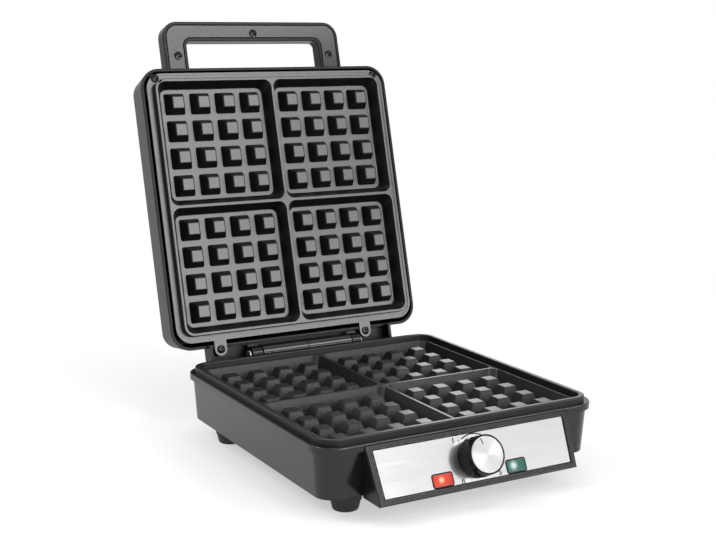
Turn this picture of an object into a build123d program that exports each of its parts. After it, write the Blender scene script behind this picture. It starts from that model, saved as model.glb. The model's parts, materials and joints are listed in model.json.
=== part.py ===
"""Waffle maker for four square waffles, standing open: base, hinged lid and thermostat knob.

Millimetres, +Z up. The origin is on the table, under the middle of the open appliance.
The front with the control panel faces -Y. Each rigid piece is one node in parts/.
"""
from build123d import *
import os
from math import cos, radians, sin, tan

os.makedirs("parts", exist_ok=True)

# Grid plates, both square
plate_width = 250.0
plate_corner = 15.0
plate_wall = 3.0
flange_width = 5.95
ridge_width = 2.7
ridge_soft = 0.8
block_draft = 3.0
cavity_depth = 12.5
cavity_slope = 5.0
cavity_corner = 7.0
cavity_soft = 2.0
floor_margin = 3.0

# Bosses of the waffle grid
grid_count = 4
boss_gap = 5.5
boss_slope = 4.2
boss_height = 10.5
boss_corner = 2.0
boss_top_corner = 1.0
core_inset = 1.6
core_roof = 2.5

# Lower grid plate
rim_height = 64.0
rim_skirt = 5.0
rim_width = 4.5
rim_soft = 1.2
rim_seat = 3.5
channel_depth = 12.0
stud_radius = 5.0
stud_length = 8.0
stud_hole = 7.0
stud_inset_x = 27.0
stud_inset_y = 65.0

# Upper grid plate
upper_ridge_height = 6.0
bead_width = 2.0
bead_height = 0.4
notch_radius = 5.5
corner_screw_inset_x = 9.0
corner_screw_inset_v = 4.5
tab_radius = 6.0
tab_reach = 8.5
left_tab_x = -83.5
right_tab_x = 70.5
head_recess = 0.8

# Base housing
housing_margin = 5.0
housing_corner = 21.0
housing_wall = 2.5
housing_bottom = 17.0
housing_draft = 4.2
band_height = 5.5
band_step = 3.0
band_soft = 1.0
plate_clearance = 0.7

# Bottom cover and feet
pan_floor = 11.5
pan_slope = 22.0
pan_wall = 2.5
pan_lip = 4.0
pan_clearance = 0.6
post_radius = 6.5
foot_height = 8.5
foot_radius = 12.0
foot_taper = 13.0
front_foot_inset_x = 36.0
front_foot_inset_y = 28.0
rear_foot_inset_x = 26.0
rear_foot_inset_y = 44.0

# Hinge
hinge_behind = 17.0
hinge_below = 4.0
closed_gap = 1.5
ridge_gap = 0.5
open_angle = 105.5
pin_radius = 3.0
pin_start = 26.0
pin_reach = 58.0
pin_head = 1.8
barrel_wall = 5.0
barrel_reach = 46.7
barrel_seam = 0.6
barrel_web = 37.0
barrel_web_start = 5.0
knuckle_wall = 4.6
knuckle_start = 48.0
knuckle_width = 9.5
barrel_screw_x = (14.0, 34.0)
arm_foot_drop = 28.0
arm_screw_drop = 21.0
running_fit = 0.05

# Lid cover
cover_margin = 5.0
cover_low_margin = 6.5
cover_corner = 19.0
cover_front = 1.0
cover_back = 38.0
cover_draft = 7.0
cover_wall = 2.6
cover_edge = 6.0
cover_lip = 0.6
cover_fit = 0.3
cover_post = 4.6
corner_post_length = 15.0

# Hood over the hinge, part of the lid cover
hood_inset = 28.5
hood_wall = 2.8
hood_back = 6.0
hood_front = 5.0
hood_beyond = 8.0

# Handle
handle_inset = 31.0
handle_rise = 55.0
handle_corner = 15.0
handle_side = 23.0
handle_bar = 19.0
window_corner = 5.0
handle_front = 22.0
handle_back_soft = 4.0
handle_rim = 2.8
handle_gap = 0.6
handle_wall = 2.6
handle_post = 5.0
handle_foot = 45.0
insert_rise = 3.5
tongue_width = 12.0
tongue_length = 22.0
tongue_thickness = 4.0
tongue_low = 28.0

# Control panel
panel_inset = 36.0
panel_height = 46.7
panel_taper = 2.4
panel_lean = 25.5
panel_reach = 10.4
panel_below = 1.5
panel_wall = 3.0
panel_gap = 0.3
panel_soft = 1.2
panel_hollow_drop = 7.0
panel_window = 70.0
panel_post_x = 82.0
panel_post_drop = 4.4
panel_post_radius = 4.0
fascia_border_x = 5.0
fascia_border_y = 4.1
fascia_taper = 1.9
fascia_shift = 0.8
fascia_thickness = 0.8
fascia_sunk = 0.4
fascia_fit = 0.25
lamp_x = 34.2
lamp_above = 6.55
lamp_width = 17.3
lamp_height = 9.2
lamp_lip = 1.3

# Knob and thermostat
knob_radius = 16.4
knob_taper = 1.0
knob_height = 15.0
knob_lift = 0.8
knob_ribs = 24
rib_groove = 1.1
cap_border = 1.1
cap_thickness = 1.0
spindle_radius = 3.0
spindle_flat = 2.2
bushing_wall = 2.0

# Heating
element_radius = 3.2
element_inset = 47.0
element_bend = 14.0
element_tail = 16.0
element_tail_length = 22.0
tray_inset = 36.0
tray_depth = 13.0
tray_corner = 8.0
sheet = 0.6
clamp_y = 30.0

# Cord inlet, terminal block and leads
cord_x = -74.0
cord_z = 33.0
cord_radius = 7.0
block_x = -70.0
block_y = 84.0
block_size = (34.0, 16.0, 13.0)
lead_radius = 1.1
lamp_lead_radius = 0.8

# Screws and fits
screw_radius = 1.9
screw_head = 3.7
screw_head_height = 2.2
thread_fit = 0.1
shank_fit = 0.3
head_fit = 0.4
contact_gap = 0.1

# Sizes that follow: plates
plate_half = plate_width / 2
cavity_mouth = plate_half - flange_width - 1.5 * ridge_width
cavity_floor = cavity_mouth - 2 * cavity_slope
cavity_middle = (cavity_mouth + ridge_width) / 2
grid_pitch = (cavity_floor - floor_margin) / grid_count
boss_base = grid_pitch - boss_gap
boss_top = boss_base - 2 * boss_slope
block_half = plate_half - flange_width
block_corner = cavity_corner + ridge_width
block_seat_half = block_half - ridge_width / 2
block_seat_corner = block_corner - ridge_width / 2
block_depth = cavity_depth + plate_wall
tub_half = plate_half - rim_seat
basin_half = plate_half - rim_width
lower_ridge = rim_height - upper_ridge_height + closed_gap - ridge_gap
lower_floor = lower_ridge - block_depth
upper_under = block_depth - upper_ridge_height
channel_floor = rim_height - channel_depth
stud_bottom = lower_floor - stud_length
stud_x = plate_half - stud_inset_x
stud_y = plate_half - stud_inset_y

# Sizes that follow: base
housing_width = plate_width + 2 * housing_margin
housing_half = housing_width / 2
shelf_top = rim_height - rim_skirt
shelf_bottom = shelf_top - housing_wall
band_bottom = shelf_top - band_height
wall_width = housing_width - 2 * band_step
wall_corner = housing_corner - band_step
opening_half = tub_half + plate_clearance
opening_corner = plate_corner - rim_seat + plate_clearance
panel_width = housing_width - 2 * panel_inset
panel_ahead = housing_half + panel_reach
panel_top = shelf_top - panel_below
lean_sine = sin(radians(panel_lean))
lean_cosine = cos(radians(panel_lean))
panel_middle = panel_top - panel_height / 2 * lean_cosine
panel_bottom = panel_top - panel_height * lean_cosine
panel_post_z = panel_middle - panel_post_drop
fascia_width = panel_width - 2 * fascia_border_x
fascia_height = panel_height - 2 * fascia_border_y
fascia_back = -fascia_thickness - fascia_sunk
lamp_y = fascia_shift - fascia_height / 2 + lamp_above
bushing_radius = spindle_radius + bushing_wall
knob_top_radius = knob_radius - knob_taper
cap_radius = knob_top_radius - cap_border
knob_bottom = knob_lift - fascia_sunk
knob_end = knob_bottom + knob_height

# Sizes that follow: hinge and lid
hinge_reach = plate_half + hinge_behind
hinge_z = rim_height - hinge_below
barrel_radius = pin_radius + barrel_wall
knuckle_radius = pin_radius + knuckle_wall
arm_foot = hinge_z - arm_foot_drop
arm_screw_z = hinge_z - arm_screw_drop
open_sine = sin(radians(open_angle))
open_cosine = cos(radians(open_angle))
closed_rise = closed_gap + hinge_below
lid_reach = hinge_reach * (1 - open_cosine) + closed_rise * open_sine
lid_z = hinge_z + hinge_reach * open_sine + closed_rise * open_cosine
cover_width = plate_width + 2 * cover_margin
cover_height = plate_width + cover_margin + cover_low_margin
cover_shift = (cover_margin - cover_low_margin) / 2
cover_top = plate_half + cover_margin
tab_v = -plate_half - tab_reach
axis_v = -hinge_reach
hood_half = plate_half - hood_inset
handle_half = plate_half - handle_inset
handle_top = plate_half + handle_rise
handle_depth = cover_back - handle_front
window_half = handle_half - handle_side
window_top = handle_top - handle_bar
element_reach = plate_half - element_inset
element_end = element_reach + element_tail_length
tray_half = plate_half - tray_inset

# Place of the base: the open appliance reaches as far behind the origin as ahead of it
front_reach = panel_ahead + knob_end * lean_cosine + knob_top_radius * lean_sine
rear_corner = lid_reach - handle_top * open_cosine + cover_back * open_sine
rear_reach = rear_corner - handle_back_soft * (open_sine - open_cosine - 1)
base_y = (front_reach - rear_reach) / 2
hinge_y = base_y + hinge_reach


# Working planes
def base_level(height):
    """Horizontal plane at a height above the table, centred on the base."""
    return Plane((0, base_y, height))


def base_underside(height):
    """The same plane seen from below: its normal points down."""
    return Plane((0, base_y, height), x_dir=(1, 0, 0), z_dir=(0, 0, -1))


def side_plane(x):
    """Upright plane across X: its own axes are Y and Z, measured from the base centre."""
    return Plane((x, base_y, 0), x_dir=(0, 1, 0), z_dir=(1, 0, 0))


def rear_plane(y):
    """Upright plane facing the rear, y measured from the base centre: axes are -X and Z."""
    return Plane((0, base_y + y, 0), x_dir=(-1, 0, 0), z_dir=(0, 1, 0))


lid_face = Plane((0, base_y + lid_reach, lid_z), x_dir=(1, 0, 0), z_dir=(0, -open_sine, -open_cosine))
lid_axis = Axis(lid_face.origin, lid_face.z_dir)


def lid_level(height):
    """Plane parallel to the upper plate's flange, positive towards the waffles."""
    return lid_face.offset(height)


panel_face = Plane(
    (0, base_y - panel_ahead, panel_middle), x_dir=(1, 0, 0), z_dir=(0, -lean_cosine, lean_sine)
)
panel_axis = Axis(panel_face.origin, panel_face.z_dir)


def panel_level(height):
    """Plane parallel to the control panel, positive towards the user."""
    return panel_face.offset(height)


# Shared drawing steps
def save(builder, name):
    """Label a finished piece and write its file."""
    builder.part.label = name
    export_step(builder.part, f"parts/{name}.step")


def discs(plane, places, radius):
    """Equal round outlines on a plane, for posts, holes and screw heads."""
    with BuildSketch(plane, mode=Mode.PRIVATE) as drawing:
        with Locations(*places):
            Circle(radius)
    return drawing.sketch


def square(plane, half, corner):
    """Square outline with rounded corners on a plane."""
    with BuildSketch(plane, mode=Mode.PRIVATE) as drawing:
        RectangleRounded(2 * half, 2 * half, corner)
    return drawing.sketch


def save_screws(name, seat, places, shank, head_height=screw_head_height):
    """Round-headed screws on a seat plane, saved as one node: heads above it, shanks below."""
    with BuildPart() as screws:
        extrude(discs(seat, places, screw_head), amount=head_height)
        fillet(screws.faces().sort_by(Axis(seat.origin, seat.z_dir))[-len(places) :].edges(), 0.6)
        extrude(discs(seat, places, screw_radius), amount=-shank)
    save(screws, name)


def trapezoid(top_width, height, taper, shift=0.0, corner=1.0):
    """Panel outline, narrower at its lower edge, with rounded corners."""
    half_top = top_width / 2
    half_bottom = half_top - taper
    with BuildSketch(mode=Mode.PRIVATE) as outline:
        with BuildLine():
            Polyline(
                (-half_bottom, shift - height / 2),
                (half_bottom, shift - height / 2),
                (half_top, shift + height / 2),
                (-half_top, shift + height / 2),
                close=True,
            )
        make_face()
        fillet(outline.vertices(), corner)
    return outline.sketch


stud_places = [(x, y) for x in (-stud_x, stud_x) for y in (-stud_y, stud_y)]
front_foot_x = housing_half - front_foot_inset_x
rear_foot_x = housing_half - rear_foot_inset_x
front_foot_y = front_foot_inset_y - housing_half
rear_foot_y = housing_half - rear_foot_inset_y
foot_places = [
    (-front_foot_x, front_foot_y),
    (front_foot_x, front_foot_y),
    (-rear_foot_x, rear_foot_y),
    (rear_foot_x, rear_foot_y),
]
panel_post_places = [(-panel_post_x, panel_post_z), (panel_post_x, panel_post_z)]
barrel_screw_places = [(side * x, arm_screw_z) for side in (-1, 1) for x in barrel_screw_x]
lamp_places = [(-lamp_x, lamp_y), (lamp_x, lamp_y)]
corner_x = plate_half - corner_screw_inset_x
corner_v = plate_half - corner_screw_inset_v
corner_places = [(-corner_x, corner_v), (corner_x, corner_v)]
tab_places = [(left_tab_x, tab_v), (right_tab_x, tab_v)]

# One boss of the waffle grid, a four-sided frustum with rounded corners
with BuildPart() as boss:
    with BuildSketch():
        RectangleRounded(boss_base, boss_base, boss_corner)
    with BuildSketch(Plane.XY.offset(boss_height)):
        RectangleRounded(boss_top, boss_top, boss_top_corner)
    loft(ruled=True)

# Hollow on the back of each boss of the upper plate, which keeps the lid light
with BuildPart() as boss_core:
    with BuildSketch():
        Rectangle(boss_base - 2 * core_inset, boss_base - 2 * core_inset)
    with BuildSketch(Plane.XY.offset(plate_wall + boss_height - core_roof)):
        Rectangle(boss_top - 2 * core_inset, boss_top - 2 * core_inset)
    loft(ruled=True)

# The hollow that one waffle fills, mouth at z = 0, its floor rounded into the walls
with BuildPart() as hollow:
    with BuildSketch():
        RectangleRounded(cavity_mouth, cavity_mouth, cavity_corner)
    with BuildSketch(Plane.XY.offset(-cavity_depth)):
        RectangleRounded(cavity_floor, cavity_floor, cavity_corner)
    loft(ruled=True)
    fillet(hollow.faces().sort_by(Axis.Z)[0].edges(), cavity_soft)

# The block that both plates share: four hollows with rounded ridges and their bosses
with BuildPart() as grid_block:
    extrude(square(Plane.XY, block_half, block_corner), amount=-block_depth, taper=-block_draft)
    with GridLocations(2 * cavity_middle, 2 * cavity_middle, 2, 2):
        add(hollow.part, mode=Mode.SUBTRACT)
    fillet(grid_block.edges().group_by(Axis.Z)[-1], ridge_soft)
    with Locations((0, 0, -cavity_depth)):
        with GridLocations(2 * cavity_middle, 2 * cavity_middle, 2, 2):
            with GridLocations(grid_pitch, grid_pitch, grid_count, grid_count):
                add(boss.part)

# Lower grid plate: raised rim, overflow channel, grid block, four studs below
with BuildPart() as lower_grid_plate:
    tub_level = base_level(channel_floor - plate_wall)
    extrude(square(tub_level, tub_half, plate_corner - rim_seat), amount=shelf_top - tub_level.origin.Z)
    extrude(square(base_level(shelf_top), plate_half, plate_corner), amount=rim_skirt)
    extrude(
        square(base_level(rim_height), basin_half, plate_corner - rim_width),
        amount=-channel_depth,
        taper=block_draft,
        mode=Mode.SUBTRACT,
    )
    fillet(lower_grid_plate.edges().group_by(Axis.Z)[-1], rim_soft)
    block_seat = square(base_level(channel_floor), block_seat_half, block_seat_corner)
    extrude(block_seat, amount=-plate_wall, mode=Mode.SUBTRACT)
    with Locations(base_level(lower_ridge)):
        add(grid_block.part)
    extrude(discs(base_level(stud_bottom), stud_places, stud_radius), amount=stud_length + 1)
    stud_holes = discs(base_level(stud_bottom), stud_places, screw_radius + thread_fit)
    extrude(stud_holes, amount=stud_hole, mode=Mode.SUBTRACT)
save(lower_grid_plate, "lower_grid_plate")

# Upper grid plate: beaded flange, grid block, corner notches and two screw tabs
with BuildPart() as upper_grid_plate:
    with BuildSketch(lid_level(-plate_wall)):
        RectangleRounded(plate_width, plate_width, plate_corner)
        for tab_x, tab_y in tab_places:
            with Locations((tab_x, tab_y)):
                Circle(tab_radius)
            with Locations((tab_x, (tab_y - plate_half) / 2)):
                Rectangle(2 * tab_radius, tab_reach + 2)
    extrude(amount=plate_wall)
    with BuildSketch(lid_face):
        RectangleRounded(plate_width, plate_width, plate_corner)
        inner_width = plate_width - 2 * bead_width
        RectangleRounded(inner_width, inner_width, plate_corner - bead_width, mode=Mode.SUBTRACT)
    extrude(amount=bead_height)
    block_seat = square(lid_face, block_seat_half, block_seat_corner)
    extrude(block_seat, amount=-plate_wall, mode=Mode.SUBTRACT)
    with Locations(lid_level(upper_ridge_height)):
        add(grid_block.part)
    extrude(discs(lid_face, corner_places, notch_radius), amount=upper_ridge_height, mode=Mode.SUBTRACT)
    below_flange = discs(lid_level(-plate_wall), corner_places, notch_radius)
    extrude(below_flange, amount=-upper_under, mode=Mode.SUBTRACT)
    screw_seats = discs(lid_face, corner_places + tab_places, screw_head + head_fit)
    extrude(screw_seats, amount=-head_recess, mode=Mode.SUBTRACT)
    screw_holes = discs(lid_face, corner_places + tab_places, screw_radius + shank_fit)
    extrude(screw_holes, amount=-plate_wall, mode=Mode.SUBTRACT)
    with Locations(lid_level(-upper_under)):
        with GridLocations(2 * cavity_middle, 2 * cavity_middle, 2, 2):
            with GridLocations(grid_pitch, grid_pitch, grid_count, grid_count):
                add(boss_core.part, mode=Mode.SUBTRACT)
save(upper_grid_plate, "upper_grid_plate")


# Base housing: drafted walls under a square band, open below and above
def wall_half(height):
    """Half width of the housing's outer wall at a height above the table."""
    return wall_width / 2 - (band_bottom - height) * tan(radians(housing_draft))


with BuildPart() as base_housing:
    extrude(
        square(base_level(band_bottom), wall_width / 2, wall_corner),
        amount=housing_bottom - band_bottom,
        taper=housing_draft,
    )
    extrude(square(base_level(band_bottom), housing_half, housing_corner), amount=band_height)
    fillet(base_housing.edges().group_by(Axis.Z)[-1], band_soft)
    extrude(
        square(base_level(shelf_bottom), wall_width / 2 - housing_wall, wall_corner - housing_wall),
        amount=housing_bottom - shelf_bottom,
        taper=housing_draft,
        mode=Mode.SUBTRACT,
    )
    opening = square(base_level(shelf_top), opening_half, opening_corner)
    extrude(opening, amount=-housing_wall, mode=Mode.SUBTRACT)
    # Notch in the band for the control panel, window for what is behind it
    with BuildSketch(side_plane(-panel_width / 2 - panel_gap)):
        with BuildLine():
            Polyline(
                (-housing_half - 1, band_bottom),
                (-wall_half(band_bottom), band_bottom),
                (-wall_half(band_bottom), panel_top + panel_gap),
                (-housing_half - 1, panel_top + panel_gap),
                close=True,
            )
        make_face()
    extrude(amount=panel_width + 2 * panel_gap, mode=Mode.SUBTRACT)
    wall_reach = housing_half - wall_half(housing_bottom) + housing_wall + 2
    with BuildSketch(rear_plane(-housing_half)):
        with Locations((0, panel_middle)):
            RectangleRounded(2 * panel_window, 26, 3)
    extrude(amount=wall_reach, mode=Mode.SUBTRACT)
    # Screw holes for the panel in front and for the hinge barrels behind, hole for the cord
    for plane, places, radius in (
        (rear_plane(-housing_half), panel_post_places, screw_radius + thread_fit),
        (rear_plane(housing_half - wall_reach), barrel_screw_places, screw_radius + thread_fit),
        (rear_plane(housing_half - wall_reach), [(-cord_x, cord_z)], cord_radius),
    ):
        extrude(discs(plane, places, radius), amount=wall_reach, mode=Mode.SUBTRACT)
save(base_housing, "base_housing")

# Bottom cover: a shallow pan with sloping sides, vents, posts and foot seats
pan_half = wall_half(housing_bottom) - housing_wall - pan_clearance
pan_floor_half = pan_half - pan_slope
pan_corner = wall_corner - pan_wall - pan_clearance
floor_corner = wall_corner / 2
pan_inner = pan_half - pan_wall
post_height = stud_bottom - contact_gap - pan_floor
head_bore_depth = 4.0
with BuildPart() as bottom_cover:
    loft(
        [
            square(base_level(pan_floor), pan_floor_half, floor_corner),
            square(base_level(housing_bottom), pan_half, pan_corner),
        ],
        ruled=True,
    )
    extrude(square(base_level(housing_bottom), pan_half, pan_corner), amount=pan_lip)
    loft(
        [
            square(base_level(pan_floor + pan_wall), pan_floor_half, floor_corner),
            square(base_level(housing_bottom + pan_wall), pan_inner, pan_corner - pan_wall),
        ],
        ruled=True,
        mode=Mode.SUBTRACT,
    )
    lip_hollow = square(base_level(housing_bottom + pan_wall), pan_inner, pan_corner - pan_wall)
    extrude(lip_hollow, amount=pan_lip, mode=Mode.SUBTRACT)
    # Seats above the rubber feet, posts that carry the grid plate's studs
    seats = discs(base_level(foot_height), foot_places, foot_radius + 0.6)
    extrude(seats, amount=housing_bottom - foot_height)
    extrude(discs(base_level(pan_floor), stud_places, post_radius), amount=post_height)
    # Cooling slots
    with BuildSketch(base_level(pan_floor)):
        with Locations((0, 45), (0, -45)):
            with GridLocations(14, 0, 7, 1):
                SlotOverall(34, 4, rotation=90)
    extrude(amount=pan_wall, mode=Mode.SUBTRACT)
    # Screw holes with counterbores, reached from below
    with Locations(base_underside(pan_floor)):
        with Locations(*stud_places):
            CounterBoreHole(
                radius=screw_radius + shank_fit,
                counter_bore_radius=screw_head + head_fit,
                counter_bore_depth=head_bore_depth,
            )
save(bottom_cover, "bottom_cover")

# Rubber feet, one solid each
with BuildPart() as rubber_feet:
    foot_top = foot_height - contact_gap
    extrude(discs(base_level(foot_top), foot_places, foot_radius), amount=-foot_top, taper=foot_taper)
    chamfer(rubber_feet.edges().group_by(Axis.Z)[0], 0.8)
save(rubber_feet, "rubber_feet")

# Screws that hold the lower grid plate from below
plate_screw_seat = pan_floor + head_bore_depth - contact_gap
save_screws(
    "lower_plate_screws",
    base_underside(plate_screw_seat),
    stud_places,
    stud_bottom + stud_hole - 1.0 - plate_screw_seat,
)

# Control panel housing: a hollow wedge on the front wall
wedge_back_top = wall_half(panel_top) + panel_gap
wedge_back_bottom = wall_half(panel_bottom) + panel_gap
wedge_front_top = panel_ahead - panel_height / 2 * lean_sine
wedge_front_bottom = panel_ahead + panel_height / 2 * lean_sine
lean_slope = tan(radians(panel_lean))
taper_slope = panel_taper / (panel_height * lean_cosine)
slab = panel_wall / lean_cosine
outer_low_width = panel_width - 2 * panel_taper
inner_low_width = outer_low_width + 2 * (taper_slope - 1) * panel_wall
inner_high_width = panel_width - 2 * taper_slope * panel_hollow_drop - 2 * panel_wall
inner_low_front = wedge_front_bottom - slab - panel_wall * lean_slope
inner_high_front = wedge_front_top - slab + panel_hollow_drop * lean_slope
panel_post_back = wall_half(panel_post_z) + panel_gap


def wedge_section(height, width, front, back):
    """Horizontal section of the panel's wedge, front and back measured from the base centre."""
    with BuildSketch(base_level(height), mode=Mode.PRIVATE) as section:
        with Locations((0, -(front + back) / 2)):
            Rectangle(width, front - back)
    return section.sketch


with BuildPart() as control_panel_housing:
    loft(
        [
            wedge_section(panel_bottom, outer_low_width, wedge_front_bottom, wedge_back_bottom),
            wedge_section(panel_top, panel_width, wedge_front_top, wedge_back_top),
        ],
        ruled=True,
    )
    fillet(control_panel_housing.faces().sort_by(Axis.Y)[0].edges(), panel_soft)
    inner_low = panel_bottom + panel_wall
    inner_high = panel_top - panel_hollow_drop
    loft(
        [
            wedge_section(inner_low, inner_low_width, inner_low_front, wedge_back_bottom - 6),
            wedge_section(inner_high, inner_high_width, inner_high_front, wedge_back_top - 6),
        ],
        ruled=True,
        mode=Mode.SUBTRACT,
    )
    # Screw posts, reached from inside the base
    post_front = panel_ahead - 1
    posts = discs(rear_plane(-post_front), panel_post_places, panel_post_radius)
    extrude(posts, amount=post_front - panel_post_back)
    post_holes = discs(rear_plane(-panel_post_back), panel_post_places, screw_radius + thread_fit)
    extrude(post_holes, amount=-8, mode=Mode.SUBTRACT)
    # Recess for the steel fascia, openings for the lamps and the thermostat
    with BuildSketch(panel_face):
        recess_width = fascia_width + 2 * fascia_fit
        recess_height = fascia_height + 2 * fascia_fit
        add(trapezoid(recess_width, recess_height, fascia_taper, fascia_shift, 1.2))
    extrude(amount=fascia_back, mode=Mode.SUBTRACT)
    with BuildSketch(panel_face):
        with Locations(*lamp_places):
            RectangleRounded(lamp_width - 2.0, lamp_height - 2.0, 1.5)
        Circle(bushing_radius + shank_fit)
    extrude(amount=-10, mode=Mode.SUBTRACT)
save(control_panel_housing, "control_panel_housing")

# Screws of the control panel, heads inside the base
wall_inside = panel_post_back - panel_gap - housing_wall - 0.5
save_screws("panel_screws", rear_plane(-wall_inside), panel_post_places, 9.0)

# Brushed steel fascia
with BuildPart() as panel_fascia:
    with BuildSketch(panel_level(fascia_back + 0.02)):
        add(trapezoid(fascia_width, fascia_height, fascia_taper, fascia_shift, 1.0))
        with Locations(*lamp_places):
            RectangleRounded(lamp_width, lamp_height, lamp_lip, mode=Mode.SUBTRACT)
        Circle(bushing_radius + shank_fit, mode=Mode.SUBTRACT)
    extrude(amount=fascia_thickness)
save(panel_fascia, "panel_fascia")

# Two lamp lenses, each a rounded window with a stem behind it, and the lamps they cover
stem_depth = 4.5
for lamp_name, lamp_place in (("power", lamp_places[0]), ("ready", lamp_places[1])):
    with BuildPart() as lens:
        with BuildSketch(panel_level(fascia_back + contact_gap)):
            with Locations(lamp_place):
                RectangleRounded(lamp_width - 0.3, lamp_height - 0.3, lamp_lip - 0.1)
        extrude(amount=-fascia_back + 0.5)
        fillet(lens.faces().sort_by(panel_axis)[-1].edges(), 0.6)
        with BuildSketch(panel_level(fascia_back + contact_gap)):
            with Locations(lamp_place):
                RectangleRounded(lamp_width - 2 * lamp_lip, lamp_height - 2 * lamp_lip, lamp_lip - 0.1)
        extrude(amount=-stem_depth)
    save(lens, f"{lamp_name}_lamp_lens")
    with BuildPart() as neon_lamp:
        extrude(discs(panel_level(fascia_back - stem_depth - contact_gap), [lamp_place], 2.2), amount=-6)
    save(neon_lamp, f"{lamp_name}_neon_lamp")

# Thermostat: body behind the panel, threaded bushing through it
thermostat_front = -panel_wall - 0.2
thermostat_depth = 12.6
thermostat_half = 13.5
bushing_top = 3.2
collar_room = 2.6
with BuildPart() as thermostat_body:
    with BuildSketch(panel_level(thermostat_front)):
        RectangleRounded(2 * thermostat_half, 18, 2)
    extrude(amount=-thermostat_depth)
    with BuildSketch(panel_level(thermostat_front)):
        Circle(bushing_radius)
    extrude(amount=bushing_top - thermostat_front)
    with BuildSketch(panel_level(bushing_top)):
        Circle(spindle_radius + running_fit)
    extrude(amount=-30, mode=Mode.SUBTRACT)
    with BuildSketch(panel_level(thermostat_front - collar_room)):
        Circle(bushing_radius + 1)
    extrude(amount=-20, mode=Mode.SUBTRACT)
save(thermostat_body, "thermostat_body")

# Hexagon nut on the bushing, hidden under the knob
with BuildPart() as thermostat_nut:
    with BuildSketch(panel_level(-fascia_sunk + 0.05)):
        RegularPolygon(bushing_radius + 3, 6)
        Circle(bushing_radius + 0.06, mode=Mode.SUBTRACT)
    extrude(amount=2.4)
save(thermostat_nut, "thermostat_nut")

# Spindle with a D-shaped end and a collar that keeps it in the bushing
spindle_top = knob_end - 3.4
spindle_back = thermostat_front - 6.0
flat_middle = -spindle_flat - spindle_radius
flat_width = 2 * spindle_radius + 2
with BuildPart() as thermostat_spindle:
    with BuildSketch(panel_level(spindle_back)):
        Circle(spindle_radius)
    extrude(amount=spindle_top - spindle_back)
    with BuildSketch(panel_level(thermostat_front - collar_room - 0.4)):
        Circle(bushing_radius)
    extrude(amount=-1.6)
    with BuildSketch(panel_level(bushing_top + 0.6)):
        with Locations((0, flat_middle)):
            Rectangle(flat_width, 2 * spindle_radius)
    extrude(amount=spindle_top, mode=Mode.SUBTRACT)
save(thermostat_spindle, "thermostat_spindle")

# Knob: fluted skirt, hollow below, hub on the spindle, recess for the cap
hub_bottom = bushing_top + 1.0
hub_radius = spindle_radius + 3.0
skirt_wall = 4.0
with BuildPart() as knob_body:
    with BuildSketch(panel_level(knob_bottom)):
        Circle(knob_radius)
    with BuildSketch(panel_level(knob_end)):
        Circle(knob_top_radius)
    loft()
    with BuildSketch(panel_level(knob_bottom + 2.2)):
        with PolarLocations(knob_radius + 0.35, knob_ribs):
            Circle(rib_groove)
    extrude(amount=knob_height, mode=Mode.SUBTRACT)
    with BuildSketch(panel_level(knob_end)):
        Circle(cap_radius + 0.15)
    extrude(amount=-cap_thickness - contact_gap, mode=Mode.SUBTRACT)
    with BuildSketch(panel_level(knob_bottom)):
        Circle(knob_radius - skirt_wall)
    extrude(amount=knob_height - 4.0, mode=Mode.SUBTRACT)
    with BuildSketch(panel_level(hub_bottom)):
        Circle(hub_radius)
    extrude(amount=knob_end - 3.0 - hub_bottom)
    with BuildSketch(panel_level(hub_bottom)):
        Circle(spindle_radius + running_fit)
        with Locations((0, flat_middle - running_fit)):
            Rectangle(flat_width, 2 * spindle_radius, mode=Mode.SUBTRACT)
    extrude(amount=spindle_top + 0.2 - hub_bottom, mode=Mode.SUBTRACT)
save(knob_body, "knob_body")

with BuildPart() as knob_cap:
    with BuildSketch(panel_level(knob_end - cap_thickness)):
        Circle(cap_radius)
    extrude(amount=cap_thickness + contact_gap)
    chamfer(knob_cap.faces().sort_by(panel_axis)[-1].edges(), 0.3)
save(knob_cap, "knob_cap")

# Cord inlet: a grommet in the rear wall
inlet_wall = wall_half(cord_z)
inlet_place = [(-cord_x, cord_z)]
inlet_seat = inlet_wall + 0.9
with BuildPart() as cord_inlet:
    extrude(discs(rear_plane(inlet_seat), inlet_place, cord_radius + 2.6), amount=2.2)
    extrude(discs(rear_plane(inlet_seat), inlet_place, cord_radius - 0.2), amount=-5.6)
    extrude(discs(rear_plane(inlet_seat + 2.2), inlet_place, cord_radius - 1.5), amount=17, taper=4)
    bore = discs(rear_plane(inlet_wall - 5), inlet_place, cord_radius - 3.6)
    extrude(bore, amount=30, mode=Mode.SUBTRACT)
save(cord_inlet, "cord_inlet")

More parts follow.
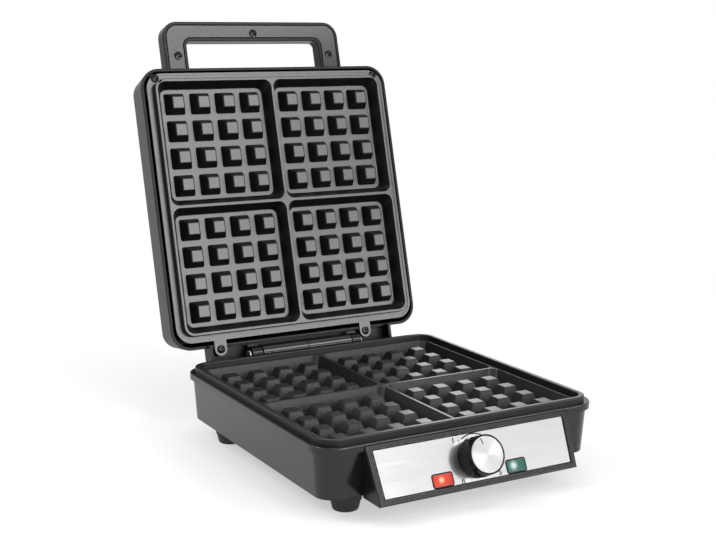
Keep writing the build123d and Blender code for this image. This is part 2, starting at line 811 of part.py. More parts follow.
# Hinge barrels: two castings on the rear wall, bored for the pins
arm_start = wall_half(arm_foot) + 0.3
arm_back = arm_start + 3.6
hinge_place = [(hinge_reach, hinge_z)]
for hinge_name, side in (("left", -1), ("right", 1)):
    near = side * barrel_seam / 2
    with BuildPart() as hinge_barrel:
        barrel = discs(side_plane(near), hinge_place, barrel_radius)
        extrude(barrel, amount=side * (barrel_reach - barrel_seam / 2))
        with BuildSketch(side_plane(side * barrel_web_start)):
            with BuildLine():
                Polyline(
                    (arm_start, arm_foot),
                    (arm_back, arm_foot),
                    (housing_half + 2.0, hinge_z - barrel_radius - 5.0),
                    (hinge_reach, hinge_z - barrel_radius + 0.4),
                    (hinge_reach, hinge_z),
                    (housing_half + 0.4, shelf_top - 0.6),
                    (housing_half + 0.4, band_bottom - 0.4),
                    (wall_half(band_bottom) + 0.3, band_bottom - 0.4),
                    close=True,
                )
            make_face()
        extrude(amount=side * barrel_web)
        bore = discs(side_plane(side * (pin_start - 1.0)), hinge_place, pin_radius + running_fit)
        extrude(bore, amount=side * 40, mode=Mode.SUBTRACT)
        arm_holes = [(-side * x, arm_screw_z) for x in barrel_screw_x]
        holes = discs(rear_plane(wall_half(arm_foot)), arm_holes, screw_radius + thread_fit)
        extrude(holes, amount=3.5, mode=Mode.SUBTRACT)
    save(hinge_barrel, f"hinge_barrel_{hinge_name}")

# Hinge pins with heads at their outer ends
with BuildPart() as hinge_pins:
    for side in (-1, 1):
        shaft = discs(side_plane(side * pin_start), hinge_place, pin_radius)
        extrude(shaft, amount=side * (pin_reach - pin_start))
        head = discs(side_plane(side * pin_reach), hinge_place, pin_radius + pin_head)
        extrude(head, amount=side * pin_head)
save(hinge_pins, "hinge_pins")

# Screws that hold the barrels, heads inside the rear wall
barrel_screw_seat = wall_half(arm_screw_z) - housing_wall - 0.6
save_screws(
    "hinge_barrel_screws",
    Plane((0, base_y + barrel_screw_seat, 0), x_dir=(1, 0, 0), z_dir=(0, -1, 0)),
    barrel_screw_places,
    5.0,
)


# Heating elements, their clamps and reflector trays, the same above and below
def element_path(plane, toward):
    """Centre line of a heating element on a plane; both tails point along +Y or -Y."""
    with BuildLine(plane, mode=Mode.PRIVATE) as path:
        FilletPolyline(
            (-element_tail, toward * element_end),
            (-element_tail, toward * element_reach),
            (-element_reach, toward * element_reach),
            (-element_reach, -toward * element_reach),
            (element_reach, -toward * element_reach),
            (element_reach, toward * element_reach),
            (element_tail, toward * element_reach),
            (element_tail, toward * element_end),
            radius=element_bend,
        )
    return path.line


clamp_places = [(x, y) for x in (-element_reach, element_reach) for y in (-clamp_y, clamp_y)]
for level_name, plane, toward in (
    ("lower", base_level(lower_floor), 1),
    ("upper", lid_level(-upper_under), -1),
):
    seat = plane.offset(-contact_gap)
    with BuildPart() as heating_element:
        tube_line = element_path(seat.offset(-element_radius), toward)
        with BuildSketch(Plane(tube_line @ 0, z_dir=tube_line % 0)):
            Circle(element_radius)
        sweep(path=tube_line)
    save(heating_element, f"{level_name}_heating_element")
    with BuildPart() as element_clamps:
        with BuildSketch(seat):
            with Locations(*clamp_places):
                RectangleRounded(6 * element_radius, 9, 1)
        extrude(amount=-2 * element_radius - 1.4)
        with BuildSketch(seat):
            with Locations(*clamp_places):
                Rectangle(2 * element_radius + 0.3, 12)
        extrude(amount=-2 * element_radius - 0.3, mode=Mode.SUBTRACT)
    save(element_clamps, f"{level_name}_element_clamps")
    with BuildPart() as reflector:
        extrude(square(seat, tray_half, tray_corner), amount=-tray_depth)
        inside = square(seat, tray_half - sheet, tray_corner - sheet)
        extrude(inside, amount=sheet - tray_depth, mode=Mode.SUBTRACT)
        with BuildSketch(seat):
            with Locations((-element_tail, toward * tray_half), (element_tail, toward * tray_half)):
                Rectangle(2 * element_radius + 6, 6)
        extrude(amount=-2 * element_radius - 1.2, mode=Mode.SUBTRACT)
    save(reflector, f"{level_name}_reflector")


# Lid cover: drafted shell with soft back edges, and a hood over the hinge
def cover_block(growth):
    """Outer block of the lid cover, grown by a clearance."""
    width = cover_width + 2 * growth
    height = cover_height + 2 * growth
    with BuildPart(mode=Mode.PRIVATE) as block:
        with BuildSketch(lid_level(-cover_front)):
            with Locations((0, cover_shift)):
                RectangleRounded(width, height, cover_corner + growth)
        extrude(amount=cover_front - cover_back - growth, taper=cover_draft)
        fillet(block.faces().sort_by(lid_axis)[0].edges(), cover_edge)
        fillet(block.faces().sort_by(lid_axis)[-1].edges(), cover_lip)
    return block.part


hood_top = -plate_half - cover_low_margin + cover_front + 1.0
hood_low = axis_v - hood_beyond
mount_x = handle_half - 11.5
mount_v = plate_half - 9.0
tongue_back = -tongue_low - tongue_thickness
post_end = cover_wall / 2 - cover_back
mount_places = [(-mount_x, mount_v), (mount_x, mount_v)]
lug_x = knuckle_start + knuckle_width / 2
lug_screw_places = [(side * lug_x, axis_v + step) for side in (-1, 1) for step in (-4.0, 7.0)]
with BuildPart() as upper_cover:
    add(cover_block(0))
    with BuildSketch(lid_level(-cover_front)):
        with Locations((0, cover_shift)):
            inner = 2 * cover_wall
            RectangleRounded(cover_width - inner, cover_height - inner, cover_corner - cover_wall)
    extrude(amount=cover_front + cover_wall - cover_back, taper=cover_draft, mode=Mode.SUBTRACT)
    # Hood: back plate and two flanks beyond the hinge side
    with BuildSketch(lid_level(-hood_back)):
        with Locations((0, (hood_top + hood_low) / 2)):
            Rectangle(2 * hood_half, hood_top - hood_low)
    extrude(amount=-hood_wall)
    with BuildSketch(lid_level(-hood_back - hood_wall)):
        for side in (-1, 1):
            with Locations((side * (hood_half - hood_wall / 2), (hood_top + hood_low) / 2)):
                Rectangle(hood_wall, hood_top - hood_low)
    extrude(amount=hood_back + hood_wall + hood_front)
    # Notches in the hinge-side wall for the plate's screw tabs
    with BuildSketch(lid_level(-plate_wall - 0.3)):
        for tab_x, tab_y in tab_places:
            with Locations((tab_x, -plate_half - 5)):
                Rectangle(2 * tab_radius + 1.2, 9)
    extrude(amount=plate_wall, mode=Mode.SUBTRACT)
    # Screw posts for the plate and the handle
    post_level = lid_level(-plate_wall - contact_gap)
    extrude(discs(post_level, corner_places, cover_post), amount=-corner_post_length)
    extrude(discs(post_level, tab_places, cover_post), amount=plate_wall + contact_gap - hood_back - 1)
    mount_level = lid_level(tongue_back - contact_gap)
    extrude(discs(mount_level, mount_places, cover_post), amount=post_end - tongue_back + contact_gap)
    # Screw holes and the slots for the handle's tongues
    plate_holes = discs(post_level, corner_places + tab_places, screw_radius + thread_fit)
    extrude(plate_holes, amount=-8.0, mode=Mode.SUBTRACT)
    mount_holes = discs(lid_level(tongue_back), mount_places, screw_radius + thread_fit)
    extrude(mount_holes, amount=-4.0, mode=Mode.SUBTRACT)
    with BuildSketch(lid_level(tongue_back - 0.3)):
        with Locations((-mount_x, cover_top - 3.5), (mount_x, cover_top - 3.5)):
            Rectangle(tongue_width + 0.8, 14)
    extrude(amount=tongue_thickness + 0.6, mode=Mode.SUBTRACT)
    lug_holes = discs(lid_level(-hood_back), lug_screw_places, screw_radius + thread_fit)
    extrude(lug_holes, amount=-hood_wall, mode=Mode.SUBTRACT)
save(upper_cover, "upper_cover")

# Screws of the upper plate: two in the corners, two in the tabs, heads partly sunk
save_screws(
    "upper_plate_screws",
    lid_level(contact_gap - head_recess),
    corner_places + tab_places,
    plate_wall + 5.0,
    head_height=1.5,
)

# Lid hinge arms: two lugs on the hood with rings round the pins
with BuildPart() as lid_hinge_arms:
    for side in (-1, 1):
        with BuildSketch(lid_level(-hood_back + contact_gap)):
            with Locations((side * lug_x, axis_v + 1.2)):
                Rectangle(knuckle_width, 2 * knuckle_radius + 1.3)
        extrude(amount=hood_back + 2.0)
        lug_plane = Plane(
            (side * knuckle_start, hinge_y, hinge_z), x_dir=(0, 1, 0), z_dir=(side, 0, 0)
        )
        with BuildSketch(lug_plane):
            Circle(knuckle_radius)
        extrude(amount=knuckle_width)
        with BuildSketch(lug_plane):
            Circle(pin_radius + running_fit)
        extrude(amount=knuckle_width, mode=Mode.SUBTRACT)
    lug_level = lid_level(-hood_back + contact_gap)
    extrude(discs(lug_level, lug_screw_places, screw_radius + thread_fit), amount=4.0, mode=Mode.SUBTRACT)
save(lid_hinge_arms, "lid_hinge_arms")

# Screws of the hinge arms, heads on the outside of the hood
hood_outside = lid_level(-hood_back - hood_wall - contact_gap)
save_screws(
    "hinge_arm_screws",
    Plane(hood_outside.origin, x_dir=(1, 0, 0), z_dir=-hood_outside.z_dir),
    [(x, -v) for x, v in lug_screw_places],
    hood_wall + 3.5,
)


# Handle: rear shell shaped like a tray, front insert inside its rim
def handle_outline(inset, low):
    """Handle seen from the front, inset from its outer edge and from its window."""
    window = window_half + inset
    outer = handle_half - inset
    with BuildSketch(mode=Mode.PRIVATE) as outline:
        with Locations((0, handle_top - inset - 60)):
            RectangleRounded(2 * outer, 120, handle_corner - inset)
        with Locations((0, window_top + inset - 80)):
            RectangleRounded(2 * window, 160, window_corner + inset, mode=Mode.SUBTRACT)
        with Locations((0, low - 50)):
            Rectangle(2 * handle_half + 2, 100, mode=Mode.SUBTRACT)
    return outline.sketch


handle_screw_v = plate_half + 22.0
handle_screw_places = [
    (0, handle_top - 11.5),
    (-handle_half + 13.0, handle_screw_v),
    (handle_half - 13.0, handle_screw_v),
]
with BuildPart() as handle_rear_shell:
    with BuildSketch(lid_level(-handle_front)):
        add(handle_outline(0, plate_half - handle_foot))
    extrude(amount=-handle_depth)
    fillet(handle_rear_shell.faces().sort_by(lid_axis)[0].edges(), handle_back_soft)
    fillet(handle_rear_shell.faces().sort_by(lid_axis)[-1].edges(), 0.8)
    with BuildSketch(lid_level(-handle_front)):
        add(handle_outline(handle_rim, plate_half - handle_foot))
    extrude(amount=handle_wall - handle_depth, taper=2, mode=Mode.SUBTRACT)
    add(cover_block(cover_fit), mode=Mode.SUBTRACT)
    post_level = lid_level(-handle_front - handle_wall - contact_gap)
    post_length = handle_depth - 1.5 * handle_wall - contact_gap
    extrude(discs(post_level, handle_screw_places, handle_post), amount=-post_length)
    # Tongues that reach into the cover, on a block behind each leg
    with BuildSketch(lid_level(tongue_back)):
        with Locations((-mount_x, mount_v + 6.5), (mount_x, mount_v + 6.5)):
            Rectangle(tongue_width, tongue_length)
    extrude(amount=tongue_thickness)
    with BuildSketch(lid_level(-tongue_low)):
        with Locations((-mount_x, cover_top + 1.5), (mount_x, cover_top + 1.5)):
            Rectangle(tongue_width, 5)
    extrude(amount=tongue_low + handle_wall / 2 - cover_back)
    post_holes = discs(post_level, handle_screw_places, screw_radius + thread_fit)
    extrude(post_holes, amount=-8.0, mode=Mode.SUBTRACT)
    tongue_holes = discs(lid_level(-tongue_low), mount_places, screw_radius + thread_fit)
    extrude(tongue_holes, amount=-tongue_thickness, mode=Mode.SUBTRACT)
save(handle_rear_shell, "handle_rear_shell")

insert_recess = 1.2
with BuildPart() as handle_front_shell:
    with BuildSketch(lid_level(-handle_front)):
        add(handle_outline(handle_rim + handle_gap, plate_half + insert_rise))
    extrude(amount=-handle_wall)
    fillet(handle_front_shell.faces().sort_by(lid_axis)[-1].edges(), 0.6)
    seats = discs(lid_level(-handle_front), handle_screw_places, screw_head + head_fit)
    extrude(seats, amount=-insert_recess, mode=Mode.SUBTRACT)
    holes = discs(lid_level(-handle_front), handle_screw_places, screw_radius + thread_fit)
    extrude(holes, amount=-handle_wall, mode=Mode.SUBTRACT)
save(handle_front_shell, "handle_front_shell")

# Screws of the handle: three in front, two through the tongues inside the cover
front_seat = lid_level(-handle_front - insert_recess + contact_gap)
tongue_seat = lid_level(-tongue_low + contact_gap)
with BuildPart() as handle_screws:
    extrude(discs(front_seat, handle_screw_places, screw_head), amount=1.4)
    extrude(discs(front_seat, handle_screw_places, screw_radius), amount=-8.0)
    extrude(discs(tongue_seat, mount_places, screw_head), amount=screw_head_height)
    extrude(discs(tongue_seat, mount_places, screw_radius), amount=-7.0)
save(handle_screws, "handle_screws")

# Thermal fuses against the backs of both plates
fuse_radius = 2.2
fuse_length = 16.0
fuse_y = 50.0
for fuse_name, plane, toward in (
    ("lower", base_level(lower_floor), 1),
    ("upper", lid_level(-upper_under), -1),
):
    with BuildPart() as thermal_fuse:
        with BuildSketch(plane.offset(-contact_gap)):
            with Locations((0, toward * fuse_y)):
                RectangleRounded(2 * fuse_radius + 3, 4, 0.8)
        extrude(amount=-2 * fuse_radius - 0.8)
        fuse_centre = plane.offset(-contact_gap - fuse_radius)
        fuse_start = fuse_centre.from_local_coords((0, toward * fuse_y - fuse_length / 2, 0))
        with BuildSketch(Plane(fuse_start, z_dir=plane.y_dir)):
            Circle(fuse_radius)
        extrude(amount=fuse_length)
    save(thermal_fuse, f"{fuse_name}_thermal_fuse")

# Sensor bulb under the front of the lower plate, with its capillary to the thermostat
bulb_radius = 2.2
bulb_half = 26.0
bulb_y = base_y - plate_half + 25.0
bulb_z = lower_floor - bulb_radius - contact_gap
capillary_end = panel_level(thermostat_front - 9.0).from_local_coords((thermostat_half + 0.1, 0, 0))
with BuildPart() as thermostat_sensor:
    with BuildSketch(Plane((-bulb_half, bulb_y, bulb_z), z_dir=(1, 0, 0))):
        Circle(bulb_radius)
    extrude(amount=2 * bulb_half)
    with BuildLine() as capillary:
        FilletPolyline(
            (bulb_half - 1, bulb_y, bulb_z),
            (bulb_half + 12, bulb_y, bulb_z),
            (bulb_half + 12, capillary_end.Y, capillary_end.Z),
            capillary_end,
            radius=4,
        )
    with BuildSketch(Plane(capillary.line @ 0, z_dir=capillary.line % 0)):
        Circle(0.9)
    sweep(path=capillary.line)
save(thermostat_sensor, "thermostat_sensor")

# Terminal block on the pan, beside the cord inlet
block_width, block_length, block_height = block_size
block_bottom = pan_floor + pan_wall + contact_gap
with BuildPart() as terminal_block:
    with BuildSketch(base_level(block_bottom)):
        with Locations((block_x, block_y)):
            Rectangle(block_width, block_length)
    extrude(amount=block_height)
    with BuildSketch(base_level(block_bottom + block_height)):
        with Locations((block_x, block_y)):
            with GridLocations(11, 8, 3, 2):
                Circle(2.0)
    extrude(amount=-4, mode=Mode.SUBTRACT)
save(terminal_block, "terminal_block")

# Leads from the lower element to the terminal block
lead_height = lower_floor - element_radius - contact_gap
lead_start = base_y + element_end + 0.2
lead_stop = base_y + block_y + block_length / 2 + 0.2
with BuildPart() as element_leads:
    for side, lead_end in ((-1, block_x + 6), (1, block_x - 6)):
        lead_y = base_y + element_end + 12 + 2 * side
        lead_z = block_bottom + 9.4 + 1.5 * side
        with BuildLine() as lead:
            FilletPolyline(
                (side * element_tail, lead_start, lead_height),
                (side * element_tail, lead_y, lead_height),
                (side * element_tail, lead_y, lead_z),
                (lead_end, lead_y, lead_z),
                (lead_end, lead_stop, lead_z),
                radius=4,
            )
        with BuildSketch(Plane(lead.line @ 0, z_dir=lead.line % 0)):
            Circle(lead_radius)
        sweep(path=lead.line)
save(element_leads, "element_leads")

# Leads from the lamps to the thermostat
lead_level = thermostat_front - 5.8
lead_turn = 22.0
lead_side = -4.0
with BuildPart() as lamp_leads:
    for side in (-1, 1):
        with BuildLine(panel_level(lead_level)) as lead:
            FilletPolyline(
                (side * (lamp_x - 2.4), lamp_y),
                (side * lead_turn, lamp_y),
                (side * lead_turn, lead_side),
                (side * (thermostat_half + 0.2), lead_side),
                radius=3,
            )
        with BuildSketch(Plane(lead.line @ 0, z_dir=lead.line % 0)):
            Circle(lamp_lead_radius)
        sweep(path=lead.line)
save(lamp_leads, "lamp_leads")
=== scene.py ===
"""Looks of a four-slice waffle maker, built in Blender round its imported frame.

Units are metres and +Z is up, as in the frame. The control panel faces -Y. Sizes in the
classes are millimetres where their names end in _mm.
"""

import json
import logging
import math
from dataclasses import dataclass, field
from enum import Enum

import bmesh
import bpy
from mathutils import Matrix, Vector

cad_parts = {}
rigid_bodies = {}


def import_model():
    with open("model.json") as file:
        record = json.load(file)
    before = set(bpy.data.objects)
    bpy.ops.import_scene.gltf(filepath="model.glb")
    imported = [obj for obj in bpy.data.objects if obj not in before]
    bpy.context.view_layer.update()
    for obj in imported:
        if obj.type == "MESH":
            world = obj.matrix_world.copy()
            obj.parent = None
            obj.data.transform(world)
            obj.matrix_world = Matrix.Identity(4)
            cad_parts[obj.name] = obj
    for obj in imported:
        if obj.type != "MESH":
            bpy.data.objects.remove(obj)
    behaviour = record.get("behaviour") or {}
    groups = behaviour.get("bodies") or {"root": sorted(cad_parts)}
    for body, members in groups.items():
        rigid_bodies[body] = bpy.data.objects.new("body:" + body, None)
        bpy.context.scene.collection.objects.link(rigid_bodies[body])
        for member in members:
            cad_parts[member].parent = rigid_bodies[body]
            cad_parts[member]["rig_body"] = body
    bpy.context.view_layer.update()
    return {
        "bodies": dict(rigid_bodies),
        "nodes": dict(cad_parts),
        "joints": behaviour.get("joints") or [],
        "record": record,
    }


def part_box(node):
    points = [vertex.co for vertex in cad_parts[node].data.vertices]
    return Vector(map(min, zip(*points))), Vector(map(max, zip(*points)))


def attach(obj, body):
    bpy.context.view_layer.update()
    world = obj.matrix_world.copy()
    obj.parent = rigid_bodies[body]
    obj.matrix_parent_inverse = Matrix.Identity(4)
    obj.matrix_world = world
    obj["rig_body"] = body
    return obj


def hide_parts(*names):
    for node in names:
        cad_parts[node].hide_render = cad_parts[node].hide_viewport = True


log = logging.getLogger("waffle_maker")

MM = 0.001
# Corners closer than this are one: in modelled pieces, in a CAD mesh, and in one with many solids.
MERGE_MM = 0.001
CAD_MERGE_MM = 0.004
SOLIDS_MERGE_MM = 0.002
ALONG_X = Vector((1, 0, 0))
ALONG_Y = Vector((0, 1, 0))
UP = Vector((0, 0, 1))
Mesh = bmesh.types.BMesh
Face = bmesh.types.BMFace
Piece = bpy.types.Object
Material = bpy.types.Material
Tree = bpy.types.NodeTree
Node = bpy.types.Node
Socket = bpy.types.NodeSocket
# Setting of a Mix node that mixes two colours.
COLOURS = {"data_type": "RGBA"}


class Coat(Enum):
    """How a moulded plastic leaves its tool: its roughness, and its grain's depth in millimetres."""

    SATIN = (0.38, 0.010)
    SILK = (0.27, 0.005)
    POLISHED = (0.17, 0.002)
    MATT = (0.6, 0.03)


class Lens(Enum):
    """Colours of a lamp's window: the acrylic itself, then its light at edge, glow and core."""

    RED = ("#8e1408", "#8c2a20", "#e8624a", "#fff0bc")
    GREEN = ("#07332d", "#1c4a42", "#4c8378", "#f4fffb")


def linear(code: str, share: float = 1.0) -> tuple[float, float, float, float]:
    """Turn an sRGB hex colour into linear values.

    Args:
        code: Six hex digits, with or without a leading hash.
        share: Factor on the linear values, for a darker or lighter tone of it.

    Returns:
        Red, green, blue and alpha for a shader socket.
    """
    digits = code.lstrip("#")
    parts = [int(digits[i : i + 2], 16) / 255 for i in (0, 2, 4)]
    curve = [c / 12.92 if c <= 0.04045 else ((c + 0.055) / 1.055) ** 2.4 for c in parts]
    return (*(share * c for c in curve), 1.0)


def tones(code: str, low: float, high: float = 1.0) -> tuple[tuple, tuple]:
    """Return a darker and a lighter tone of a colour, as factors on its linear values."""
    return linear(code, low), linear(code, high)


def per_mm(size_mm: float) -> float:
    """Return the scale of a pattern whose marks have this size in millimetres."""
    return 1 / (size_mm * MM)


def add_node(tree: Tree, kind: str, settings: dict | None = None, **inputs) -> Node:
    """Add a shader node with its settings and links.

    Args:
        tree: Node tree of the material or world.
        kind: Node type, such as ShaderNodeTexNoise.
        settings: Values of the node's own properties.
        **inputs: Values, sockets or nodes, keyed by the socket's name with _ for a space, or by
            n and its index. A node stands for its first output.

    Returns:
        The new node.
    """
    made = tree.nodes.new(kind)
    for key, value in (settings or {}).items():
        setattr(made, key, value)
    for key, value in inputs.items():
        by_index = key[0] == "n" and key[1:].isdigit()
        socket = made.inputs[int(key[1:]) if by_index else key.replace("_", " ")]
        source = value.outputs[0] if isinstance(value, Node) else value
        if isinstance(source, Socket):
            tree.links.new(source, socket)
        else:
            socket.default_value = source
    return made


def new_material(name: str) -> tuple[Material, Tree, Socket]:
    """Make an empty node material.

    Args:
        name: Name of the material.

    Returns:
        The material, its node tree, and its object coordinates in metres.
    """
    material = bpy.data.materials.new(name)
    material.use_nodes = True
    tree = material.node_tree
    tree.nodes.clear()
    return material, tree, add_node(tree, "ShaderNodeTexCoord").outputs["Object"]


def cover(
    material: Material,
    tone: Node | Socket,
    colours: tuple[tuple, tuple],
    grain: Node | Socket | None = None,
    roughness: tuple[float, float] | float = 0.5,
    depth_mm: float = 0.0,
    **shader,
) -> Material:
    """Close a material: its colour follows one pattern, its gloss and relief another.

    Args:
        material: Material whose patterns are in place.
        tone: Pattern that mixes the two colours.
        colours: Linear colours where that pattern is 0 and 1.
        grain: Pattern of gloss and relief.
        roughness: Roughness where the grain is 0.3 and 0.7, or one value for the whole surface.
        depth_mm: Height of the relief, 0 for none.
        **shader: Other inputs of the surface shader.

    Returns:
        The same material.
    """
    tree = material.node_tree
    first, second = colours
    mixed = add_node(tree, "ShaderNodeMix", COLOURS, n0=tone, n6=first, n7=second)
    if isinstance(roughness, tuple):
        limits = {"From_Min": 0.3, "From_Max": 0.7, "To_Min": roughness[0], "To_Max": roughness[1]}
        roughness = add_node(tree, "ShaderNodeMapRange", Value=grain, **limits)
    if depth_mm:
        height = {"Height": grain, "Distance": depth_mm * MM, "Strength": 1.0}
        shader["Normal"] = add_node(tree, "ShaderNodeBump", **height)
    look = {"Base_Color": mixed.outputs[2], "Roughness": roughness, **shader}
    surface = add_node(tree, "ShaderNodeBsdfPrincipled", **look)
    add_node(tree, "ShaderNodeOutputMaterial", Surface=surface)
    return material


@dataclass(frozen=True)
class MouldedPlastic:
    """Injection-moulded ABS, PBT, rubber or steatite: a spark-eroded grain under a thin gloss.

    The grain is coarser than a real one, so that it shows.
    """

    name: str
    colour: str
    coat: Coat = Coat.SATIN
    specular: float = 0.5
    grain_mm: float = 0.9
    cloud_mm: float = 45.0

    def build(self) -> Material:
        """Build the node material.

        Returns:
            The material.
        """
        material, tree, where = new_material(self.name)
        fine = {"Scale": per_mm(self.grain_mm), "Detail": 3.0}
        grain = add_node(tree, "ShaderNodeTexNoise", Vector=where, **fine)
        cloud = add_node(tree, "ShaderNodeTexNoise", Vector=where, Scale=per_mm(self.cloud_mm))
        rough, depth_mm = self.coat.value
        gloss = (rough - 0.05, rough + 0.05)
        shader = {"IOR": 1.53, "Specular_IOR_Level": self.specular}
        return cover(material, cloud, tones(self.colour, 0.85, 1.15), grain, gloss, depth_mm, **shader)


@dataclass(frozen=True)
class NonstickCoating:
    """Sprayed and baked PTFE on die-cast aluminium: black with grey flecks and a silky sheen.

    The flecks are coarser than real ones, so that they show.
    """

    name: str = "baked_nonstick_coating"
    colour: str = "#0a0a0b"
    fleck: str = "#19191b"
    specular: float = 0.9
    roughness: float = 0.34
    fleck_mm: float = 0.8
    peel_mm: float = 1.8
    peel_depth_mm: float = 0.012

    def build(self) -> Material:
        """Build the node material.

        Returns:
            The material.
        """
        material, tree, where = new_material(self.name)
        spray = add_node(tree, "ShaderNodeTexNoise", Vector=where, Scale=per_mm(self.fleck_mm))
        fleck = add_node(tree, "ShaderNodeMapRange", Value=spray, From_Min=0.5, From_Max=0.72)
        soft = {"Scale": per_mm(self.peel_mm), "Detail": 1.0}
        peel = add_node(tree, "ShaderNodeTexNoise", Vector=where, **soft)
        both = (linear(self.colour), linear(self.fleck))
        gloss = (self.roughness - 0.03, self.roughness + 0.04)
        shader = {"IOR": 1.5, "Specular_IOR_Level": self.specular}
        return cover(material, fleck, both, peel, gloss, self.peel_depth_mm, **shader)


@dataclass(frozen=True)
class BrushedSteel:
    """Stainless sheet brushed along X: parallel scratches that stretch highlights.

    The scratches are coarser than real ones, so that they show.
    """

    name: str = "brushed_stainless_sheet"
    colour: str = "#d2d2d1"
    roughness: float = 0.16
    scratch_mm: float = 0.4
    scratch_depth_mm: float = 0.0015
    stroke_mm: float = 30.0

    def build(self) -> Material:
        """Build the node material.

        Returns:
            The material.
        """
        material, tree, where = new_material(self.name)
        fine = per_mm(self.scratch_mm)
        scale = (per_mm(self.stroke_mm), fine, fine)
        stretch = add_node(tree, "ShaderNodeMapping", Vector=where, Scale=scale)
        scratch = add_node(tree, "ShaderNodeTexNoise", Vector=stretch, Scale=1.0, Detail=4.0)
        both = tones(self.colour, 0.95)
        gloss = (self.roughness - 0.025, self.roughness + 0.025)
        return cover(material, scratch, both, scratch, gloss, self.scratch_depth_mm, Metallic=1.0)


@dataclass(frozen=True)
class SpunAluminium:
    """Aluminium disc turned on a lathe: concentric tool marks give bright fans.

    It reads the cap's own UV map, whose first axis runs round the disc and whose second is
    the radius in metres. The tool marks are coarser than real ones, so that they show.
    """

    name: str = "spun_aluminium_disc"
    colour: str = "#c6c6c6"
    uv_map: str = "turning"
    groove_mm: float = 0.5
    groove_depth_mm: float = 0.003
    marks_around: float = 1.5
    roughness: float = 0.2

    def build(self) -> Material:
        """Build the node material.

        Returns:
            The material.
        """
        material, tree, _ = new_material(self.name)
        turned = add_node(tree, "ShaderNodeUVMap", {"uv_map": self.uv_map})
        scale = (self.marks_around, per_mm(self.groove_mm), 1.0)
        rings = add_node(tree, "ShaderNodeMapping", Vector=turned, Scale=scale)
        groove = add_node(tree, "ShaderNodeTexNoise", Vector=rings, Scale=1.0, Detail=3.0)
        by_map = {"direction_type": "UV_MAP", "uv_map": self.uv_map}
        tangent = add_node(tree, "ShaderNodeTangent", by_map)
        both = tones(self.colour, 0.82)
        shader = {"Metallic": 1.0, "Anisotropic": 0.7, "Tangent": tangent}
        return cover(material, groove, both, groove, self.roughness, self.groove_depth_mm, **shader)


@dataclass(frozen=True)
class LampWindow:
    """Moulded acrylic window over a lit neon lamp: deep colour with a hot spot.

    The light falls from the core to the glow at the spot's radius, and to the edge's colour
    at reach times that radius.
    """

    kind: Lens
    spot: Vector = field(default_factory=Vector)
    spot_mm: float = 3.4
    core_mm: float = 1.0
    reach: float = 3.2
    flute_mm: float = 1.2
    flute_depth_mm: float = 0.02

    def build(self) -> Material:
        """Build the node material.

        Returns:
            The material.
        """
        body, edge, glow, core = self.kind.value
        material, tree, where = new_material(f"{self.kind.name.lower()}_acrylic_window")
        apart = {"operation": "DISTANCE"}
        away = add_node(tree, "ShaderNodeVectorMath", apart, n0=where, n1=self.spot)
        rim = self.spot_mm * MM
        inside = {"From_Min": self.core_mm * MM, "From_Max": rim, "To_Min": 1.0, "To_Max": 0.0}
        near = add_node(tree, "ShaderNodeMapRange", Value=away.outputs["Value"], **inside)
        outside = {"From_Min": rim, "From_Max": self.reach * rim}
        far = add_node(tree, "ShaderNodeMapRange", Value=away.outputs["Value"], **outside)
        dim = add_node(tree, "ShaderNodeMix", COLOURS, n0=far, n6=linear(glow), n7=linear(edge))
        lit = add_node(tree, "ShaderNodeMix", COLOURS, n0=near, n6=dim.outputs[2], n7=linear(core))
        strength = add_node(tree, "ShaderNodeMapRange", Value=near, To_Min=0.5, To_Max=1.0)
        soft = {"Scale": per_mm(self.flute_mm), "Detail": 1.0}
        flute = add_node(tree, "ShaderNodeTexNoise", Vector=where, **soft)
        height = {"Height": flute, "Distance": self.flute_depth_mm * MM, "Strength": 1.0}
        bump = add_node(tree, "ShaderNodeBump", **height)
        look = {"Base_Color": linear(body), "Roughness": 0.12, "IOR": 1.49, "Normal": bump}
        light = {"Emission_Color": lit.outputs[2], "Emission_Strength": strength}
        surface = add_node(tree, "ShaderNodeBsdfPrincipled", **look, **light)
        add_node(tree, "ShaderNodeOutputMaterial", Surface=surface)
        return material


@dataclass(frozen=True)
class BareMetal:
    """Plated, drawn or turned metal: its own colour, with finer and coarser handling marks."""

    name: str
    colour: str
    tint: str
    roughness: float = 0.32
    mark_mm: float = 2.5
    stain_mm: float = 9.0

    def build(self) -> Material:
        """Build the node material.

        Returns:
            The material.
        """
        material, tree, where = new_material(self.name)
        fine = {"Scale": per_mm(self.mark_mm), "Detail": 4.0}
        marks = add_node(tree, "ShaderNodeTexNoise", Vector=where, **fine)
        stain = add_node(tree, "ShaderNodeTexNoise", Vector=where, Scale=per_mm(self.stain_mm))
        both = (linear(self.colour), linear(self.tint))
        gloss = (self.roughness - 0.08, self.roughness + 0.08)
        return cover(material, stain, both, marks, gloss, Metallic=1.0)


@dataclass(frozen=True)
class BakedEnamel:
    """Steel under a thin baked black enamel: dark, with a slightly wavy gloss."""

    name: str = "baked_black_enamel"
    colour: str = "#060606"
    wave_mm: float = 2.2
    wave_depth_mm: float = 0.01

    def build(self) -> Material:
        """Build the node material.

        Returns:
            The material.
        """
        material, tree, where = new_material(self.name)
        soft = {"Scale": per_mm(self.wave_mm), "Detail": 1.0}
        wave = add_node(tree, "ShaderNodeTexNoise", Vector=where, **soft)
        both = tones(self.colour, 0.8, 1.3)
        shader = {"IOR": 1.55, "Specular_IOR_Level": 0.24}
        return cover(material, wave, both, wave, (0.12, 0.2), self.wave_depth_mm, **shader)


